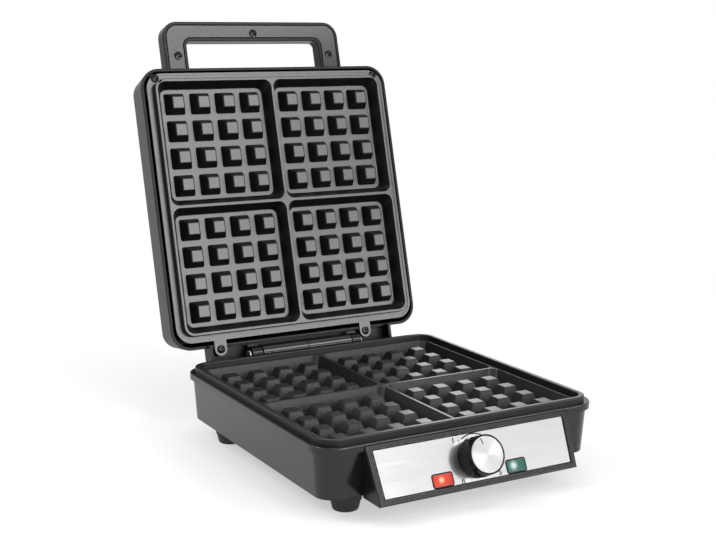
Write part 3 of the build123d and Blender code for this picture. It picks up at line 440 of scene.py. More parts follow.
@dataclass(frozen=True)
class BraidedSleeve:
    """Woven glass-fibre sleeve over a wire: pale, matt, with crossing strands."""

    name: str = "glass_fibre_sleeve"
    colour: str = "#d8d4c6"
    strand_mm: float = 0.6
    strand_depth_mm: float = 0.05

    def build(self) -> Material:
        """Build the node material.

        Returns:
            The material.
        """
        material, tree, where = new_material(self.name)
        strands = {"Vector": where, "Scale": per_mm(self.strand_mm)}
        weave = add_node(tree, "ShaderNodeTexChecker", **strands).outputs["Fac"]
        return cover(material, weave, tones(self.colour, 0.75), weave, 0.85, self.strand_depth_mm)


@dataclass(frozen=True)
class NeonGlass:
    """Drawn glass envelope of a small neon lamp: clear, faintly lit orange."""

    name: str = "neon_lamp_glass"
    colour: str = "#ffd9b0"
    light: str = "#ff8a3c"
    seed_mm: float = 1.5

    def build(self) -> Material:
        """Build the node material.

        Returns:
            The material.
        """
        material, tree, where = new_material(self.name)
        soft = {"Scale": per_mm(self.seed_mm), "Detail": 1.0}
        seed = add_node(tree, "ShaderNodeTexNoise", Vector=where, **soft)
        glass = {"roughness": 0.05, "IOR": 1.47, "Transmission_Weight": 0.7}
        light = {"Emission_Color": linear(self.light), "Emission_Strength": 0.3}
        return cover(material, seed, tones(self.colour, 0.9), **glass, **light)


@dataclass(frozen=True)
class PrintedInk:
    """Screen-printed ink, a few hundredths of a millimetre thick: an even, dull black.

    The screen's mesh is coarser than a real one, so that it shows.
    """

    name: str = "screen_printed_ink"
    colour: str = "#0b0b0c"
    screen_mm: float = 0.3

    def build(self) -> Material:
        """Build the node material.

        Returns:
            The material.
        """
        material, tree, where = new_material(self.name)
        soft = {"Scale": per_mm(self.screen_mm), "Detail": 1.0}
        screen = add_node(tree, "ShaderNodeTexNoise", Vector=where, **soft)
        dull = {"roughness": 0.6, "IOR": 1.5, "Specular_IOR_Level": 0.1}
        return cover(material, screen, tones(self.colour, 0.8, 1.2), **dull)


@dataclass(frozen=True)
class Sheet:
    """A flat working plane of the appliance, with its own two axes and normal."""

    origin: Vector
    x_axis: Vector
    normal: Vector

    def place(self, rise_mm: float = 0.0, turn_deg: float = 0.0) -> Matrix:
        """Matrix that carries a flat drawing onto the plane.

        Args:
            rise_mm: Height above the plane.
            turn_deg: Turn of the drawing, anticlockwise.

        Returns:
            A rigid 4 x 4 matrix.
        """
        x_unit = self.x_axis.normalized()
        z_unit = self.normal.normalized()
        y_unit = z_unit.cross(x_unit)
        lay = Matrix((x_unit, y_unit, z_unit)).transposed().to_4x4()
        middle = self.origin + z_unit * rise_mm * MM
        return Matrix.Translation(middle) @ lay @ Matrix.Rotation(math.radians(turn_deg), 4, "Z")


def aim_from(azimuth: float, rise: float) -> Vector:
    """Return the unit direction at an azimuth from the front and a rise above the table."""
    flat = math.cos(rise)
    return Vector((math.sin(azimuth) * flat, -math.cos(azimuth) * flat, math.sin(rise)))


def node_islands(node: Piece) -> list[list[Vector]]:
    """Split a CAD node's mesh into its separate solids.

    Args:
        node: The CAD node, left as it is.

    Returns:
        The corner points of each solid, in the order of their first corner.
    """
    work = bmesh.new()
    work.from_mesh(node.data)
    bmesh.ops.remove_doubles(work, verts=work.verts, dist=SOLIDS_MERGE_MM * MM)
    work.verts.ensure_lookup_table()
    seen = set()
    found = []
    for first in work.verts:
        if first.index in seen:
            continue
        seen.add(first.index)
        front = [first]
        points = []
        while front:
            corner = front.pop()
            points.append(corner.co.copy())
            for edge in corner.link_edges:
                other = edge.other_vert(corner)
                if other.index not in seen:
                    seen.add(other.index)
                    front.append(other)
        found.append(points)
    work.free()
    return sorted(found, key=lambda points: tuple(round(c, 4) for c in points[0]))


def new_mesh(work: Mesh, name: str) -> bpy.types.Mesh:
    """Turn a bmesh into a mesh.

    Args:
        work: The bmesh; freed here.
        name: Name of the mesh.

    Returns:
        The mesh.
    """
    mesh = bpy.data.meshes.new(name)
    work.to_mesh(mesh)
    work.free()
    return mesh


@dataclass(frozen=True)
class CrossScrew:
    """Round-headed screw with a cross recess, grown from a square grid."""

    head_height_mm: float = 2.2
    head_mm: float = 3.7
    shank_mm: float = 1.9
    tip_mm: float = 0.3
    tip_height_mm: float = 0.4
    dome: float = 0.45
    recess_mm: float = 1.1
    recess_taper: float = 0.72
    cells: int = 12
    arm: float = 0.18
    reach: float = 0.62
    square_until: float = 0.5
    rounding: float = 0.35

    def shape_head(self, work: Mesh) -> None:
        """Draw the grid into a dome, square in the middle and round at its rim.

        Args:
            work: The flat grid, 2 wide.
        """
        for corner in work.verts:
            ring = max(abs(corner.co.x), abs(corner.co.y))
            if ring > 0:
                share = min(1.0, max(0.0, (ring - self.square_until) / self.rounding))
                circle = corner.co * (ring / corner.co.length)
                corner.co = corner.co.lerp(circle, share)
            corner.co *= self.head_mm * MM
            corner.co.z = self.head_height_mm * (1 - self.dome * ring**2) * MM

    def sink_cross(self, work: Mesh, cross: list[Face]) -> None:
        """Sink the cross, narrower at its bottom.

        Args:
            work: Mesh of the head.
            cross: Its faces in the cross.
        """
        sunk = bmesh.ops.extrude_face_region(work, geom=cross)["geom"]
        floor = [item for item in sunk if isinstance(item, bmesh.types.BMVert)]
        bmesh.ops.translate(work, vec=(0, 0, -self.recess_mm * MM), verts=floor)
        bmesh.ops.scale(work, vec=(self.recess_taper, self.recess_taper, 1.0), verts=floor)
        bmesh.ops.delete(work, geom=cross, context="FACES_ONLY")

    def mesh(self, length_mm: float) -> Mesh:
        """Model the screw: head above z = 0, shank below.

        Args:
            length_mm: Length from the top of the head to the end of the shank.

        Returns:
            The mesh, in metres, with its axis along Z.
        """
        work = bmesh.new()
        bmesh.ops.create_grid(work, x_segments=self.cells, y_segments=self.cells, size=1.0)
        cross = []
        for face in work.faces:
            middle = face.calc_center_median()
            small, large = sorted((abs(middle.x), abs(middle.y)))
            if small < self.arm and large < self.reach:
                cross.append(face)
        self.shape_head(work)
        rim = [edge for edge in work.edges if edge.is_boundary]
        self.sink_cross(work, cross)
        end = self.head_height_mm - length_mm
        steps = (
            (self.head_mm, 0.0),
            (self.shank_mm, 0.0),
            (self.shank_mm, end + self.tip_height_mm),
            (self.tip_mm, end),
        )
        for radius, height in steps:
            grown = bmesh.ops.extrude_edge_only(work, edges=rim)["geom"]
            rim = [item for item in grown if isinstance(item, bmesh.types.BMEdge)]
            for corner in (item for item in grown if isinstance(item, bmesh.types.BMVert)):
                outward = Vector((corner.co.x, corner.co.y, 0)).normalized()
                corner.co = outward * radius * MM + Vector((0, 0, height * MM))
        bmesh.ops.holes_fill(work, edges=rim)
        return work


@dataclass
class Appliance:
    """The frame, the finish of every material slot, and the planes that pieces are laid on."""

    frame: dict
    finishes: dict[str, Material]
    shaded_wall_coat: Material
    ink: Material
    slots: dict[str, str]
    lid_face: Sheet
    panel_face: Sheet

    def dress_all(self) -> None:
        """Give every CAD node the finish of its slot."""
        for name, slot in self.slots.items():
            target = self.frame["nodes"][name]
            target.data.materials.clear()
            target.data.materials.append(self.finishes[slot])


@dataclass
class SubAssembly:
    """What every sub-assembly does: soften CAD nodes, add modelled pieces and report them."""

    kit: Appliance
    made: list[str] = field(default_factory=list)
    flat_deg: float = 0.8
    smooth_deg: float = 35.0
    screw_turn_deg: float = 15.0
    screw_step_deg: float = 37.0

    def settle(
        self, mesh: bpy.types.Mesh, name: str, body: str, slot: str, nodes: tuple[str, ...]
    ) -> Piece:
        """Put a finished mesh into the scene as a piece.

        Args:
            mesh: The mesh, already in its place.
            name: Name of the piece.
            body: CAD body that it rides on.
            slot: Material slot of the record.
            nodes: CAD nodes that it stands for.

        Returns:
            The new piece.
        """
        piece = bpy.data.objects.new(name, mesh)
        bpy.context.scene.collection.objects.link(piece)
        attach(piece, body)
        if nodes:
            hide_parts(*nodes)
        self.made.append(name)
        log.info("%s on %s, slot %s, %d faces", name, body, slot, len(mesh.polygons))
        return piece

    def soften(self, node: str, edge_mm: float, sharp_deg: float = 32.0) -> Piece:
        """Stand in for a CAD node with the same shape and small rounded edges.

        Args:
            node: CAD node to copy and replace.
            edge_mm: Width of the rounded edges.
            sharp_deg: Edges sharper than this are rounded.

        Returns:
            The new piece.
        """
        source = self.kit.frame["nodes"][node]
        work = bmesh.new()
        work.from_mesh(source.data)
        bmesh.ops.remove_doubles(work, verts=work.verts, dist=CAD_MERGE_MM * MM)
        bmesh.ops.dissolve_limit(
            work,
            angle_limit=math.radians(self.flat_deg),
            use_dissolve_boundaries=False,
            verts=work.verts,
            edges=work.edges,
        )
        mesh = new_mesh(work, f"{node}_finished")
        slot = self.kit.slots[node]
        mesh.materials.clear()
        mesh.materials.append(self.kit.finishes[slot])
        for face in mesh.polygons:
            face.use_smooth = True
            face.material_index = 0
        piece = self.settle(mesh, f"{node}_finished", source["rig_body"], slot, (node,))
        edge = piece.modifiers.new("rounded_edges", "BEVEL")
        edge.width = edge_mm * MM
        edge.segments = 2
        edge.limit_method = "ANGLE"
        edge.angle_limit = math.radians(sharp_deg)
        edge.use_clamp_overlap = True
        level = piece.modifiers.new("level_faces", "WEIGHTED_NORMAL")
        level.mode = "FACE_AREA"
        level.weight = 100
        level.keep_sharp = True
        return piece

    def finish(
        self,
        work: Mesh,
        name: str,
        body: str,
        slot: str,
        nodes: tuple[str, ...] = (),
        material: Material | None = None,
    ) -> None:
        """Turn a bmesh that is in its place into a piece.

        Args:
            work: The mesh; freed here.
            name: Name of the piece.
            body: CAD body that it rides on.
            slot: Material slot of the record.
            nodes: CAD nodes that it stands for.
            material: Its material, if it isn't the slot's own.
        """
        bmesh.ops.remove_doubles(work, verts=work.verts, dist=MERGE_MM * MM)
        bmesh.ops.recalc_face_normals(work, faces=work.faces)
        for face in work.faces:
            face.smooth = True
        for edge in work.edges:
            edge.smooth = edge.calc_face_angle(math.pi) < math.radians(self.smooth_deg)
        mesh = new_mesh(work, name)
        mesh.materials.append(material or self.kit.finishes[slot])
        self.settle(mesh, name, body, slot, nodes)

    def screws(self, node: str, outward: Vector, head_height_mm: float = 2.2) -> None:
        """Replace a CAD node of plain screws with cross-recessed ones, each turned differently.

        Args:
            node: CAD node whose solids all point the same way.
            outward: Direction from the shanks to the heads.
            head_height_mm: Height of the heads.
        """
        source = self.kit.frame["nodes"][node]
        screw = CrossScrew(head_height_mm)
        across = ALONG_X if abs(outward.x) < 0.9 else ALONG_Y
        whole = bmesh.new()
        for index, points in enumerate(node_islands(source)):
            heights = [point.dot(outward) for point in points]
            middle = sum(points, Vector()) / len(points)
            middle += outward * (max(heights) - middle.dot(outward))
            turn = self.screw_turn_deg + self.screw_step_deg * index
            work = screw.mesh((max(heights) - min(heights)) / MM)
            work.transform(Sheet(middle, across, outward).place(-head_height_mm, turn))
            part = new_mesh(work, "screw")
            whole.from_mesh(part)
            bpy.data.meshes.remove(part)
        slot = self.kit.slots[node]
        self.finish(whole, f"{node}_detailed", source["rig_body"], slot, (node,))


@dataclass
class PlateHalf(SubAssembly):
    """Half of the appliance that carries a cast grid plate.

    A face is steep or level by the cosine between its normal and the way the floors face.
    """

    plate_edge_mm: float = 0.55
    plate_sharp_deg: float = 28.0
    boss_edge_mm: float = 0.9
    boss_top_mm2: tuple[float, float] = (80.0, 160.0)
    steep: float = 0.95
    level: float = 0.999

    def is_boss_top(self, face: Face, axis: Vector) -> bool:
        """Tell whether a face is a boss's top: level, of its size, with steep faces all round.

        Args:
            face: Face of a grid plate.
            axis: Direction that the plate's floors face.

        Returns:
            True for a boss's top.
        """
        low, high = self.boss_top_mm2
        if face.normal.dot(axis) < self.level or not low < face.calc_area() / MM**2 < high:
            return False
        beside = (other for edge in face.edges for other in edge.link_faces if other is not face)
        return all(abs(other.normal.dot(axis)) < self.steep for other in beside)

    def finish_plate(self, node: str, axis: Vector) -> None:
        """Soften a grid plate, round its bosses' tops, and paint shade on edges and steep walls with a
        darker, less glossy copy of the coating.

        Args:
            node: CAD node of the plate.
            axis: Direction that its floors face.
        """
        piece = self.soften(node, self.plate_edge_mm, self.plate_sharp_deg)
        piece.data.materials.append(self.kit.shaded_wall_coat)
        # Rounded edges take the darker copy of the coating: painted shade along them.
        piece.modifiers["rounded_edges"].material = 1
        work = bmesh.new()
        work.from_mesh(piece.data)
        for face in work.faces:
            # Steep walls take the darker copy of the coating: painted shade in the cavities.
            face.material_index = int(abs(face.normal.dot(axis)) < self.steep)
        tops = {face for face in work.faces if self.is_boss_top(face, axis)}
        eased = bmesh.ops.bevel(
            work,
            geom=[edge for edge in work.edges if not tops.isdisjoint(edge.link_faces)],
            offset=self.boss_edge_mm * MM,
            offset_type="OFFSET",
            affect="EDGES",
            segments=3,
            profile=0.5,
            material=-1,
        )["faces"]
        # The rounded rims of the bosses' tops take the darker copy too: painted shade that widens
        # their dark walls.
        for face in eased:
            face.material_index = 1
            face.smooth = True
        work.to_mesh(piece.data)
        work.free()
        log.info("%s: %d bosses rounded", piece.name, len(tops))


@dataclass
class Base(PlateHalf):
    """Housing, pan, feet, cord inlet and the lower grid plate."""

    wall_edge_mm: float = 0.5
    foot_edge_mm: float = 1.2
    inlet_edge_mm: float = 0.5

    def build(self) -> None:
        """Soften the visible nodes and replace the screws."""
        self.soften("base_housing", self.wall_edge_mm)
        self.soften("bottom_cover", self.wall_edge_mm)
        self.finish_plate("lower_grid_plate", UP)
        self.soften("rubber_feet", self.foot_edge_mm)
        self.soften("cord_inlet", self.inlet_edge_mm)
        self.screws("lower_plate_screws", -UP)


@dataclass
class Hinge(SubAssembly):
    """Barrels, pins, lid arms and their screws."""

    casting_edge_mm: float = 0.5

    def build(self) -> None:
        """Soften the castings and replace the screws."""
        for node in ("hinge_barrel_left", "hinge_barrel_right", "lid_hinge_arms", "hinge_pins"):
            self.soften(node, self.casting_edge_mm)
        self.screws("hinge_barrel_screws", -ALONG_Y)
        self.screws("hinge_arm_screws", -self.kit.lid_face.normal)


@dataclass
class Lid(PlateHalf):
    """Cover with its hood, and the upper grid plate."""

    cover_edge_mm: float = 0.5
    screw_head_mm: float = 1.5

    def build(self) -> None:
        """Soften cover and plate, and replace the plate's screws."""
        self.soften("upper_cover", self.cover_edge_mm)
        self.finish_plate("upper_grid_plate", self.kit.lid_face.normal)
        self.screws("upper_plate_screws", self.kit.lid_face.normal, self.screw_head_mm)


@dataclass
class Handle(SubAssembly):
    """Two-part loop handle with its screws."""

    shell_edge_mm: float = 0.9
    insert_edge_mm: float = 0.6
    screw_head_mm: float = 1.4

    def build(self) -> None:
        """Soften both shells and replace the screws."""
        self.soften("handle_rear_shell", self.shell_edge_mm)
        self.soften("handle_front_shell", self.insert_edge_mm)
        self.screws("handle_screws", self.kit.lid_face.normal, self.screw_head_mm)


@dataclass
class ControlPanel(SubAssembly):
    """Leaning panel with its steel fascia, lamps and printed dial.

    A dial line is given by its first and last angle, how far it stands outside the arc, and its
    width. A dial number has its text, its angle and its distance from the middle. Angles are in
    degrees anticlockwise from X.
    """

    frame_edge_mm: float = 0.5
    sheet_edge_mm: float = 0.15
    window_edge_mm: float = 0.25
    face_sunk_mm: float = 0.38
    spot_rise_mm: float = 1.5
    ink_mm: float = 0.05
    arc_radius_mm: float = 18.6
    arc_step_deg: float = 3.0
    dial_lines: tuple[tuple[float, float, float, float], ...] = (
        (62.0, 122.0, 0.0, 0.9),
        (129.5, 131.5, 0.8, 1.6),
        (-40.0, -38.0, 0.8, 1.6),
        (-136.0, -134.6, 0.8, 2.4),
    )
    dial_numbers: tuple[tuple[str, float, float], ...] = (
        ("0", -135.0, 23.4),
        ("1", 138.0, 23.8),
        ("5", -39.0, 23.4),
    )
    digit_size_mm: float = 5.94
    digit_stroke_mm: float = 0.13
    # Inset and width of the black line of painted gap shade round the fascia.
    gap_shade_in_mm: float = 0.05
    gap_shade_mm: float = 1.0

    def arc(self, work: Mesh, start: float, stop: float, radius_mm: float, width_mm: float) -> None:
        """Draw a flat arc of ink round the panel's middle.

        Args:
            work: Mesh to add it to, in metres, in the plane z = 0.
            start: First angle in degrees.
            stop: Last angle.
            radius_mm: Radius of its centre line.
            width_mm: Width of the line.
        """
        aim = Matrix.Rotation(math.radians(start), 3, "Z") @ ALONG_X
        ends = [work.verts.new(aim * (radius_mm + side * width_mm / 2) * MM) for side in (-1, 1)]
        edge = work.edges.new(ends)
        bmesh.ops.spin(
            work,
            geom=[*ends, edge],
            cent=(0, 0, 0),
            axis=(0, 0, 1),
            angle=math.radians(stop - start),
            steps=max(1, int((stop - start) / self.arc_step_deg)),
        )

    def digit(self, work: Mesh, text: str, angle: float, radius_mm: float) -> None:
        """Write a plain number beside the dial.

        Args:
            work: Mesh to add it to.
            text: The number.
            angle: Where it stands, in degrees.
            radius_mm: Distance from the middle.
        """
        curve = bpy.data.curves.new("digit", "FONT")
        curve.body = text
        curve.size = self.digit_size_mm * MM
        curve.offset = self.digit_stroke_mm * MM
        curve.align_x = "CENTER"
        curve.align_y = "CENTER"
        holder = bpy.data.objects.new("digit", curve)
        flat = bpy.data.meshes.new_from_object(holder)
        spot = Matrix.Rotation(math.radians(angle), 3, "Z") @ ALONG_X * radius_mm * MM
        flat.transform(Matrix.Translation(spot))
        work.from_mesh(flat)
        bpy.data.objects.remove(holder)
        bpy.data.meshes.remove(flat)
        bpy.data.curves.remove(curve)

    def print_dial(self) -> None:
        """Print the arc, its end marks and plain numbers on the fascia."""
        work = bmesh.new()
        for start, stop, outside_mm, width_mm in self.dial_lines:
            self.arc(work, start, stop, self.arc_radius_mm + outside_mm, width_mm)
        for text, angle, radius_mm in self.dial_numbers:
            self.digit(work, text, angle, radius_mm)
        bmesh.ops.remove_doubles(work, verts=work.verts, dist=MERGE_MM * MM)
        bmesh.ops.recalc_face_normals(work, faces=work.faces)
        bmesh.ops.solidify(work, geom=work.faces[:], thickness=self.ink_mm * MM)
        work.transform(self.kit.panel_face.place(-self.face_sunk_mm + self.ink_mm))
        self.finish(work, "dial_print", "base", "knob_plastic", (), self.kit.ink)

    def step_in(self, work: Mesh, width_mm: float, keep_strip: bool) -> None:
        """Step in from the outline and the windows by a strip, and keep that or what it borders.

        Args:
            work: Flat mesh.
            width_mm: Width of the strip.
            keep_strip: Whether the strip stays, and not what it borders.
        """
        sizes = {"thickness": width_mm * MM, "use_boundary": True, "use_even_offset": True}
        strip = set(bmesh.ops.inset_region(work, faces=work.faces, **sizes)["faces"])
        dropped = [face for face in work.faces if (face in strip) != keep_strip]
        bmesh.ops.delete(work, geom=dropped, context="FACES")

    def paint_gap_shade(self) -> None:
        """Paint a thin black line along the fascia's edge and round its lamp windows: painted shade
        where the gap beside them falls dark.
        """
        face_up = self.kit.panel_face.normal
        work = bmesh.new()
        work.from_mesh(self.kit.frame["nodes"]["panel_fascia"].data)
        bmesh.ops.remove_doubles(work, verts=work.verts, dist=CAD_MERGE_MM * MM)
        front = max(corner.co.dot(face_up) for corner in work.verts) - 0.01 * MM
        rest = [face for face in work.faces if face.calc_center_median().dot(face_up) < front]
        bmesh.ops.delete(work, geom=rest, context="FACES")
        flat = {"angle_limit": math.radians(1), "verts": work.verts, "edges": work.edges}
        bmesh.ops.dissolve_limit(work, **flat)
        self.step_in(work, self.gap_shade_in_mm, False)
        self.step_in(work, self.gap_shade_mm, True)
        bmesh.ops.translate(work, vec=face_up * self.ink_mm * MM, verts=work.verts)
        bmesh.ops.solidify(work, geom=work.faces[:], thickness=self.ink_mm * MM)
        # Black ink standing in for the shade in the gaps round the fascia and its windows.
        self.finish(work, "painted_gap_shade", "base", "knob_plastic", (), self.kit.ink)

    def window(self, kind: Lens, node: str, lean: float, spot_mm: float) -> None:
        """Model a lamp's window: a raised rounded pane with its hot spot beside the middle.

        Args:
            kind: Colour of the window.
            node: CAD node that it replaces.
            lean: How far the hot spot stands from the middle, as a share of the half width.
            spot_mm: Radius of the hot spot.
        """
        piece = self.soften(node, self.window_edge_mm)
        low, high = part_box(node)
        aside = Vector((lean * (high.x - low.x) / 2, 0, 0))
        spot = (low + high) / 2 + aside + self.kit.panel_face.normal * self.spot_rise_mm * MM
        piece.data.materials[0] = LampWindow(kind, spot, spot_mm).build()

    def build(self) -> None:
        """Soften the panel, make the windows and print the dial."""
        self.soften("control_panel_housing", self.frame_edge_mm)
        self.soften("panel_fascia", self.sheet_edge_mm)
        self.window(Lens.RED, "power_lamp_lens", -0.2, 3.4)
        self.window(Lens.GREEN, "ready_lamp_lens", -0.35, 4.6)
        self.print_dial()
        self.paint_gap_shade()
        self.screws("panel_screws", ALONG_Y)


@dataclass
class Knob(SubAssembly):
    """Fluted knob with a spun cap and a printed pointer."""

    edge_mm: float = 0.35
    sharp_deg: float = 30.0
    cap_radius_mm: float = 14.3
    cap_top_mm: float = 15.5
    cap_depth_mm: float = 1.1
    cap_edge_mm: float = 0.3
    cap_turns: int = 96
    groove_in_mm: float = 0.9
    groove_mm: float = 0.35
    groove_depth_mm: float = 0.2
    pointer_from_mm: float = 8.3
    pointer_to_mm: float = 13.2
    pointer_mm: float = 0.75
    pointer_rise_mm: float = 0.03
    pointer_thick_mm: float = 0.04
    pointer_deg: float = 104.0

    def spin_cap(self) -> None:
        """Spin the cap's disc: a flat face, a fine groove near its rim, a soft edge."""
        rim = self.cap_radius_mm
        inner = rim - self.groove_in_mm
        steps_mm = (
            (0.0, 0.0),
            (inner - self.groove_mm, 0.0),
            (inner - self.groove_mm / 2, -self.groove_depth_mm),
            (inner, 0.0),
            (rim - self.cap_edge_mm, 0.0),
            (rim, -self.cap_edge_mm),
            (rim, -self.cap_depth_mm),
            (0.0, -self.cap_depth_mm),
        )
        work = bmesh.new()
        corners = [work.verts.new((r * MM, 0, z * MM)) for r, z in steps_mm]
        edges = [work.edges.new(pair) for pair in zip(corners, corners[1:])]
        bmesh.ops.spin(
            work,
            geom=corners + edges,
            cent=(0, 0, 0),
            axis=(0, 0, 1),
            angle=math.tau,
            steps=self.cap_turns,
            use_merge=True,
        )
        bmesh.ops.remove_doubles(work, verts=work.verts, dist=MERGE_MM * MM)
        self.unroll(work)
        work.transform(self.kit.panel_face.place(self.cap_top_mm))
        self.finish(work, "knob_cap_spun", "knob", "spun_cap", ("knob_cap",))

    def unroll(self, work: Mesh) -> None:
        """Give the disc a UV map: once round it on the first axis, its radius on the second.

        Args:
            work: The disc, round Z.
        """
        turning = work.loops.layers.uv.new("turning")
        for face in work.faces:
            middle = face.calc_center_median()
            around = math.atan2(middle.y, middle.x)
            for loop in face.loops:
                spot = loop.vert.co
                radius = math.hypot(spot.x, spot.y)
                step = math.atan2(spot.y, spot.x) - around if radius > 0.01 * MM else 0.0
                step = (step + math.pi) % math.tau - math.pi
                loop[turning].uv = ((around + step) / math.tau, radius)

    def print_pointer(self) -> None:
        """Print the pointer line on the cap."""
        work = bmesh.new()
        length = (self.pointer_to_mm - self.pointer_from_mm) * MM
        middle = (self.pointer_from_mm + self.pointer_to_mm) / 2 * MM
        bmesh.ops.create_grid(work, x_segments=1, y_segments=1, size=0.5)
        bmesh.ops.scale(work, vec=(length, self.pointer_mm * MM, 1.0), verts=work.verts)
        bmesh.ops.translate(work, vec=(middle, 0, 0), verts=work.verts)
        bmesh.ops.solidify(work, geom=work.faces[:], thickness=self.pointer_thick_mm * MM)
        rise = self.cap_top_mm + self.pointer_rise_mm
        work.transform(self.kit.panel_face.place(rise, self.pointer_deg))
        self.finish(work, "knob_pointer", "knob", "knob_plastic", (), self.kit.ink)

    def build(self) -> None:
        """Soften the knob, spin its cap and print the pointer."""
        self.soften("knob_body", self.edge_mm, self.sharp_deg)
        self.spin_cap()
        self.print_pointer()


@dataclass(frozen=True)
class Softbox:
    """Rectangular softbox, given by the part of the sky that it fills as seen from the lid."""

    name: str
    azimuth_deg: tuple[float, float]
    elevation_deg: tuple[float, float]
    radiance: float
    distance: float = 3.0

    def hang(self, aim: Vector) -> None:
        """Hang the softbox so that it faces a point.

        Args:
            aim: The point, from which its angles are counted.
        """
        left, right = (math.radians(angle) for angle in self.azimuth_deg)
        low, high = (math.radians(angle) for angle in self.elevation_deg)
        rise = (low + high) / 2
        toward = aim_from((left + right) / 2, rise)
        data = bpy.data.lights.new(self.name, "AREA")
        data.shape = "RECTANGLE"
        data.size = 2 * self.distance * math.tan((right - left) / 2) * math.cos(rise)
        data.size_y = 2 * self.distance * math.tan((high - low) / 2)
        data.energy = self.radiance * math.pi * data.size * data.size_y
        lamp = bpy.data.objects.new(self.name, data)
        lamp.matrix_world = Sheet(aim + toward * self.distance, UP.cross(toward), toward).place()
        bpy.context.scene.collection.objects.link(lamp)


@dataclass
class Studio:
    """Plain pale floor, soft lamps and the camera at the photo's angle.

    Three softboxes stand round the direction that the fascia mirrors, so that the grid plate
    shines and the steel doesn't clip. The floor and the sky show white to rays that look at
    them. The floor does so fully only beyond its fade, so that it keeps the shadow.
    """

    plate_middle_y: float
    aim_x: float = -0.0251
    aim_z: float = 0.1612
    lens_mm: float = 65.08
    sensor_mm: float = 36.0
    azimuth_deg: float = -30.11
    elevation_deg: float = 10.92
    roll_deg: float = 0.37
    distance: float = 1.0766
    floor_size: float = 12.0
    floor_lift: float = 0.5
    floor_fade: tuple[float, float] = (0.32, 0.75)
    fibre_mm: float = 3.0
    sky_strength: float = 0.56
    lid_middle: Vector = field(default_factory=lambda: Vector((0, 0.045, 0.2)))
    boxes: tuple[Softbox, ...] = (
        Softbox("tall_softbox", (0.0, 22.5), (4.0, 34.0), 6.5),
        Softbox("low_softbox", (22.5, 50.0), (-1.0, 11.0), 8.0),
        Softbox("high_softbox", (22.5, 46.0), (29.0, 42.0), 8.0),
        Softbox("top_softbox", (-40.0, 40.0), (65.0, 95.0), 3.0),
        Softbox("left_softbox", (-126.0, -98.0), (30.0, 58.0), 7.0),
        Softbox("rear_softbox", (138.0, 176.0), (12.0, 44.0), 2.6),
    )

    def add_camera(self) -> None:
        """Place the camera and make it the scene's own."""
        back = aim_from(math.radians(self.azimuth_deg), math.radians(self.elevation_deg))
        right = UP.cross(back).normalized()
        up = back.cross(right)
        roll = math.radians(self.roll_deg)
        right_turned = right * math.cos(roll) + up * math.sin(roll)
        up_turned = up * math.cos(roll) - right * math.sin(roll)
        data = bpy.data.cameras.new("photo_camera")
        data.lens = self.lens_mm
        data.sensor_width = self.sensor_mm
        camera = bpy.data.objects.new("photo_camera", data)
        turn = Matrix((right_turned, up_turned, back)).transposed().to_4x4()
        aim = Vector((self.aim_x, self.plate_middle_y, self.aim_z))
        camera.matrix_world = Matrix.Translation(aim + back * self.distance) @ turn
        bpy.context.scene.collection.objects.link(camera)
        bpy.context.scene.camera = camera

    def shown(self, tree: Tree) -> Node:
        """Tell the rays that look at the background: camera, glossy and transmission rays.

        Args:
            tree: Node tree of the floor or the world.

        Returns:
            A node that is 1 for them.
        """
        path = add_node(tree, "ShaderNodeLightPath").outputs
        more = {"operation": "MAXIMUM"}
        seen = {"n0": path["Is Camera Ray"], "n1": path["Is Glossy Ray"]}
        mirrored = add_node(tree, "ShaderNodeMath", more, **seen)
        return add_node(tree, "ShaderNodeMath", more, n0=mirrored, n1=path["Is Transmission Ray"])

    def add_floor(self) -> None:
        """Lay a large paper floor that fades to white and keeps the object's shadow."""
        work = bmesh.new()
        bmesh.ops.create_grid(work, x_segments=1, y_segments=1, size=self.floor_size / 2)
        mesh = new_mesh(work, "studio_floor")
        floor = bpy.data.objects.new("studio_floor", mesh)
        bpy.context.scene.collection.objects.link(floor)
        material, tree, where = new_material("white_paper_floor")
        fibre = add_node(tree, "ShaderNodeTexNoise", Vector=where, Scale=per_mm(self.fibre_mm))
        whites = {"n6": linear("#f4f4f4"), "n7": linear("#fafafa")}
        tint = add_node(tree, "ShaderNodeMix", COLOURS, n0=fibre, **whites)
        paper = add_node(tree, "ShaderNodeBsdfDiffuse", Color=tint.outputs[2])
        away = add_node(tree, "ShaderNodeVectorMath", {"operation": "LENGTH"}, n0=where)
        near, far = self.floor_fade
        fade = {"From_Min": near, "From_Max": far, "To_Min": self.floor_lift, "To_Max": 1.0}
        lift = add_node(tree, "ShaderNodeMapRange", Value=away.outputs["Value"], **fade)
        both = {"n0": lift, "n1": self.shown(tree)}
        share = add_node(tree, "ShaderNodeMath", {"operation": "MULTIPLY"}, **both)
        glow = add_node(tree, "ShaderNodeEmission", Strength=1.0)
        layers = add_node(tree, "ShaderNodeMixShader", n0=share, n1=paper, n2=glow)
        add_node(tree, "ShaderNodeOutputMaterial", Surface=layers)
        mesh.materials.append(material)

    def add_world(self) -> None:
        """Light the scene from a pale sky that shows white behind the object."""
        world = bpy.data.worlds.new("studio_world")
        bpy.context.scene.world = world
        world.use_nodes = True
        tree = world.node_tree
        tree.nodes.clear()
        limits = {"To_Min": self.sky_strength, "To_Max": 1.0}
        strength = add_node(tree, "ShaderNodeMapRange", Value=self.shown(tree), **limits)
        white = linear("#ffffff")
        sky = add_node(tree, "ShaderNodeBackground", Color=white, Strength=strength)
        add_node(tree, "ShaderNodeOutputWorld", Surface=sky)

    def build(self) -> None:
        """Set up camera, floor, lamps and world."""
        self.add_camera()
        self.add_floor()
        for box in self.boxes:
            box.hang(self.lid_middle)
        self.add_world()
        bpy.context.scene.view_settings.view_transform = "Standard"


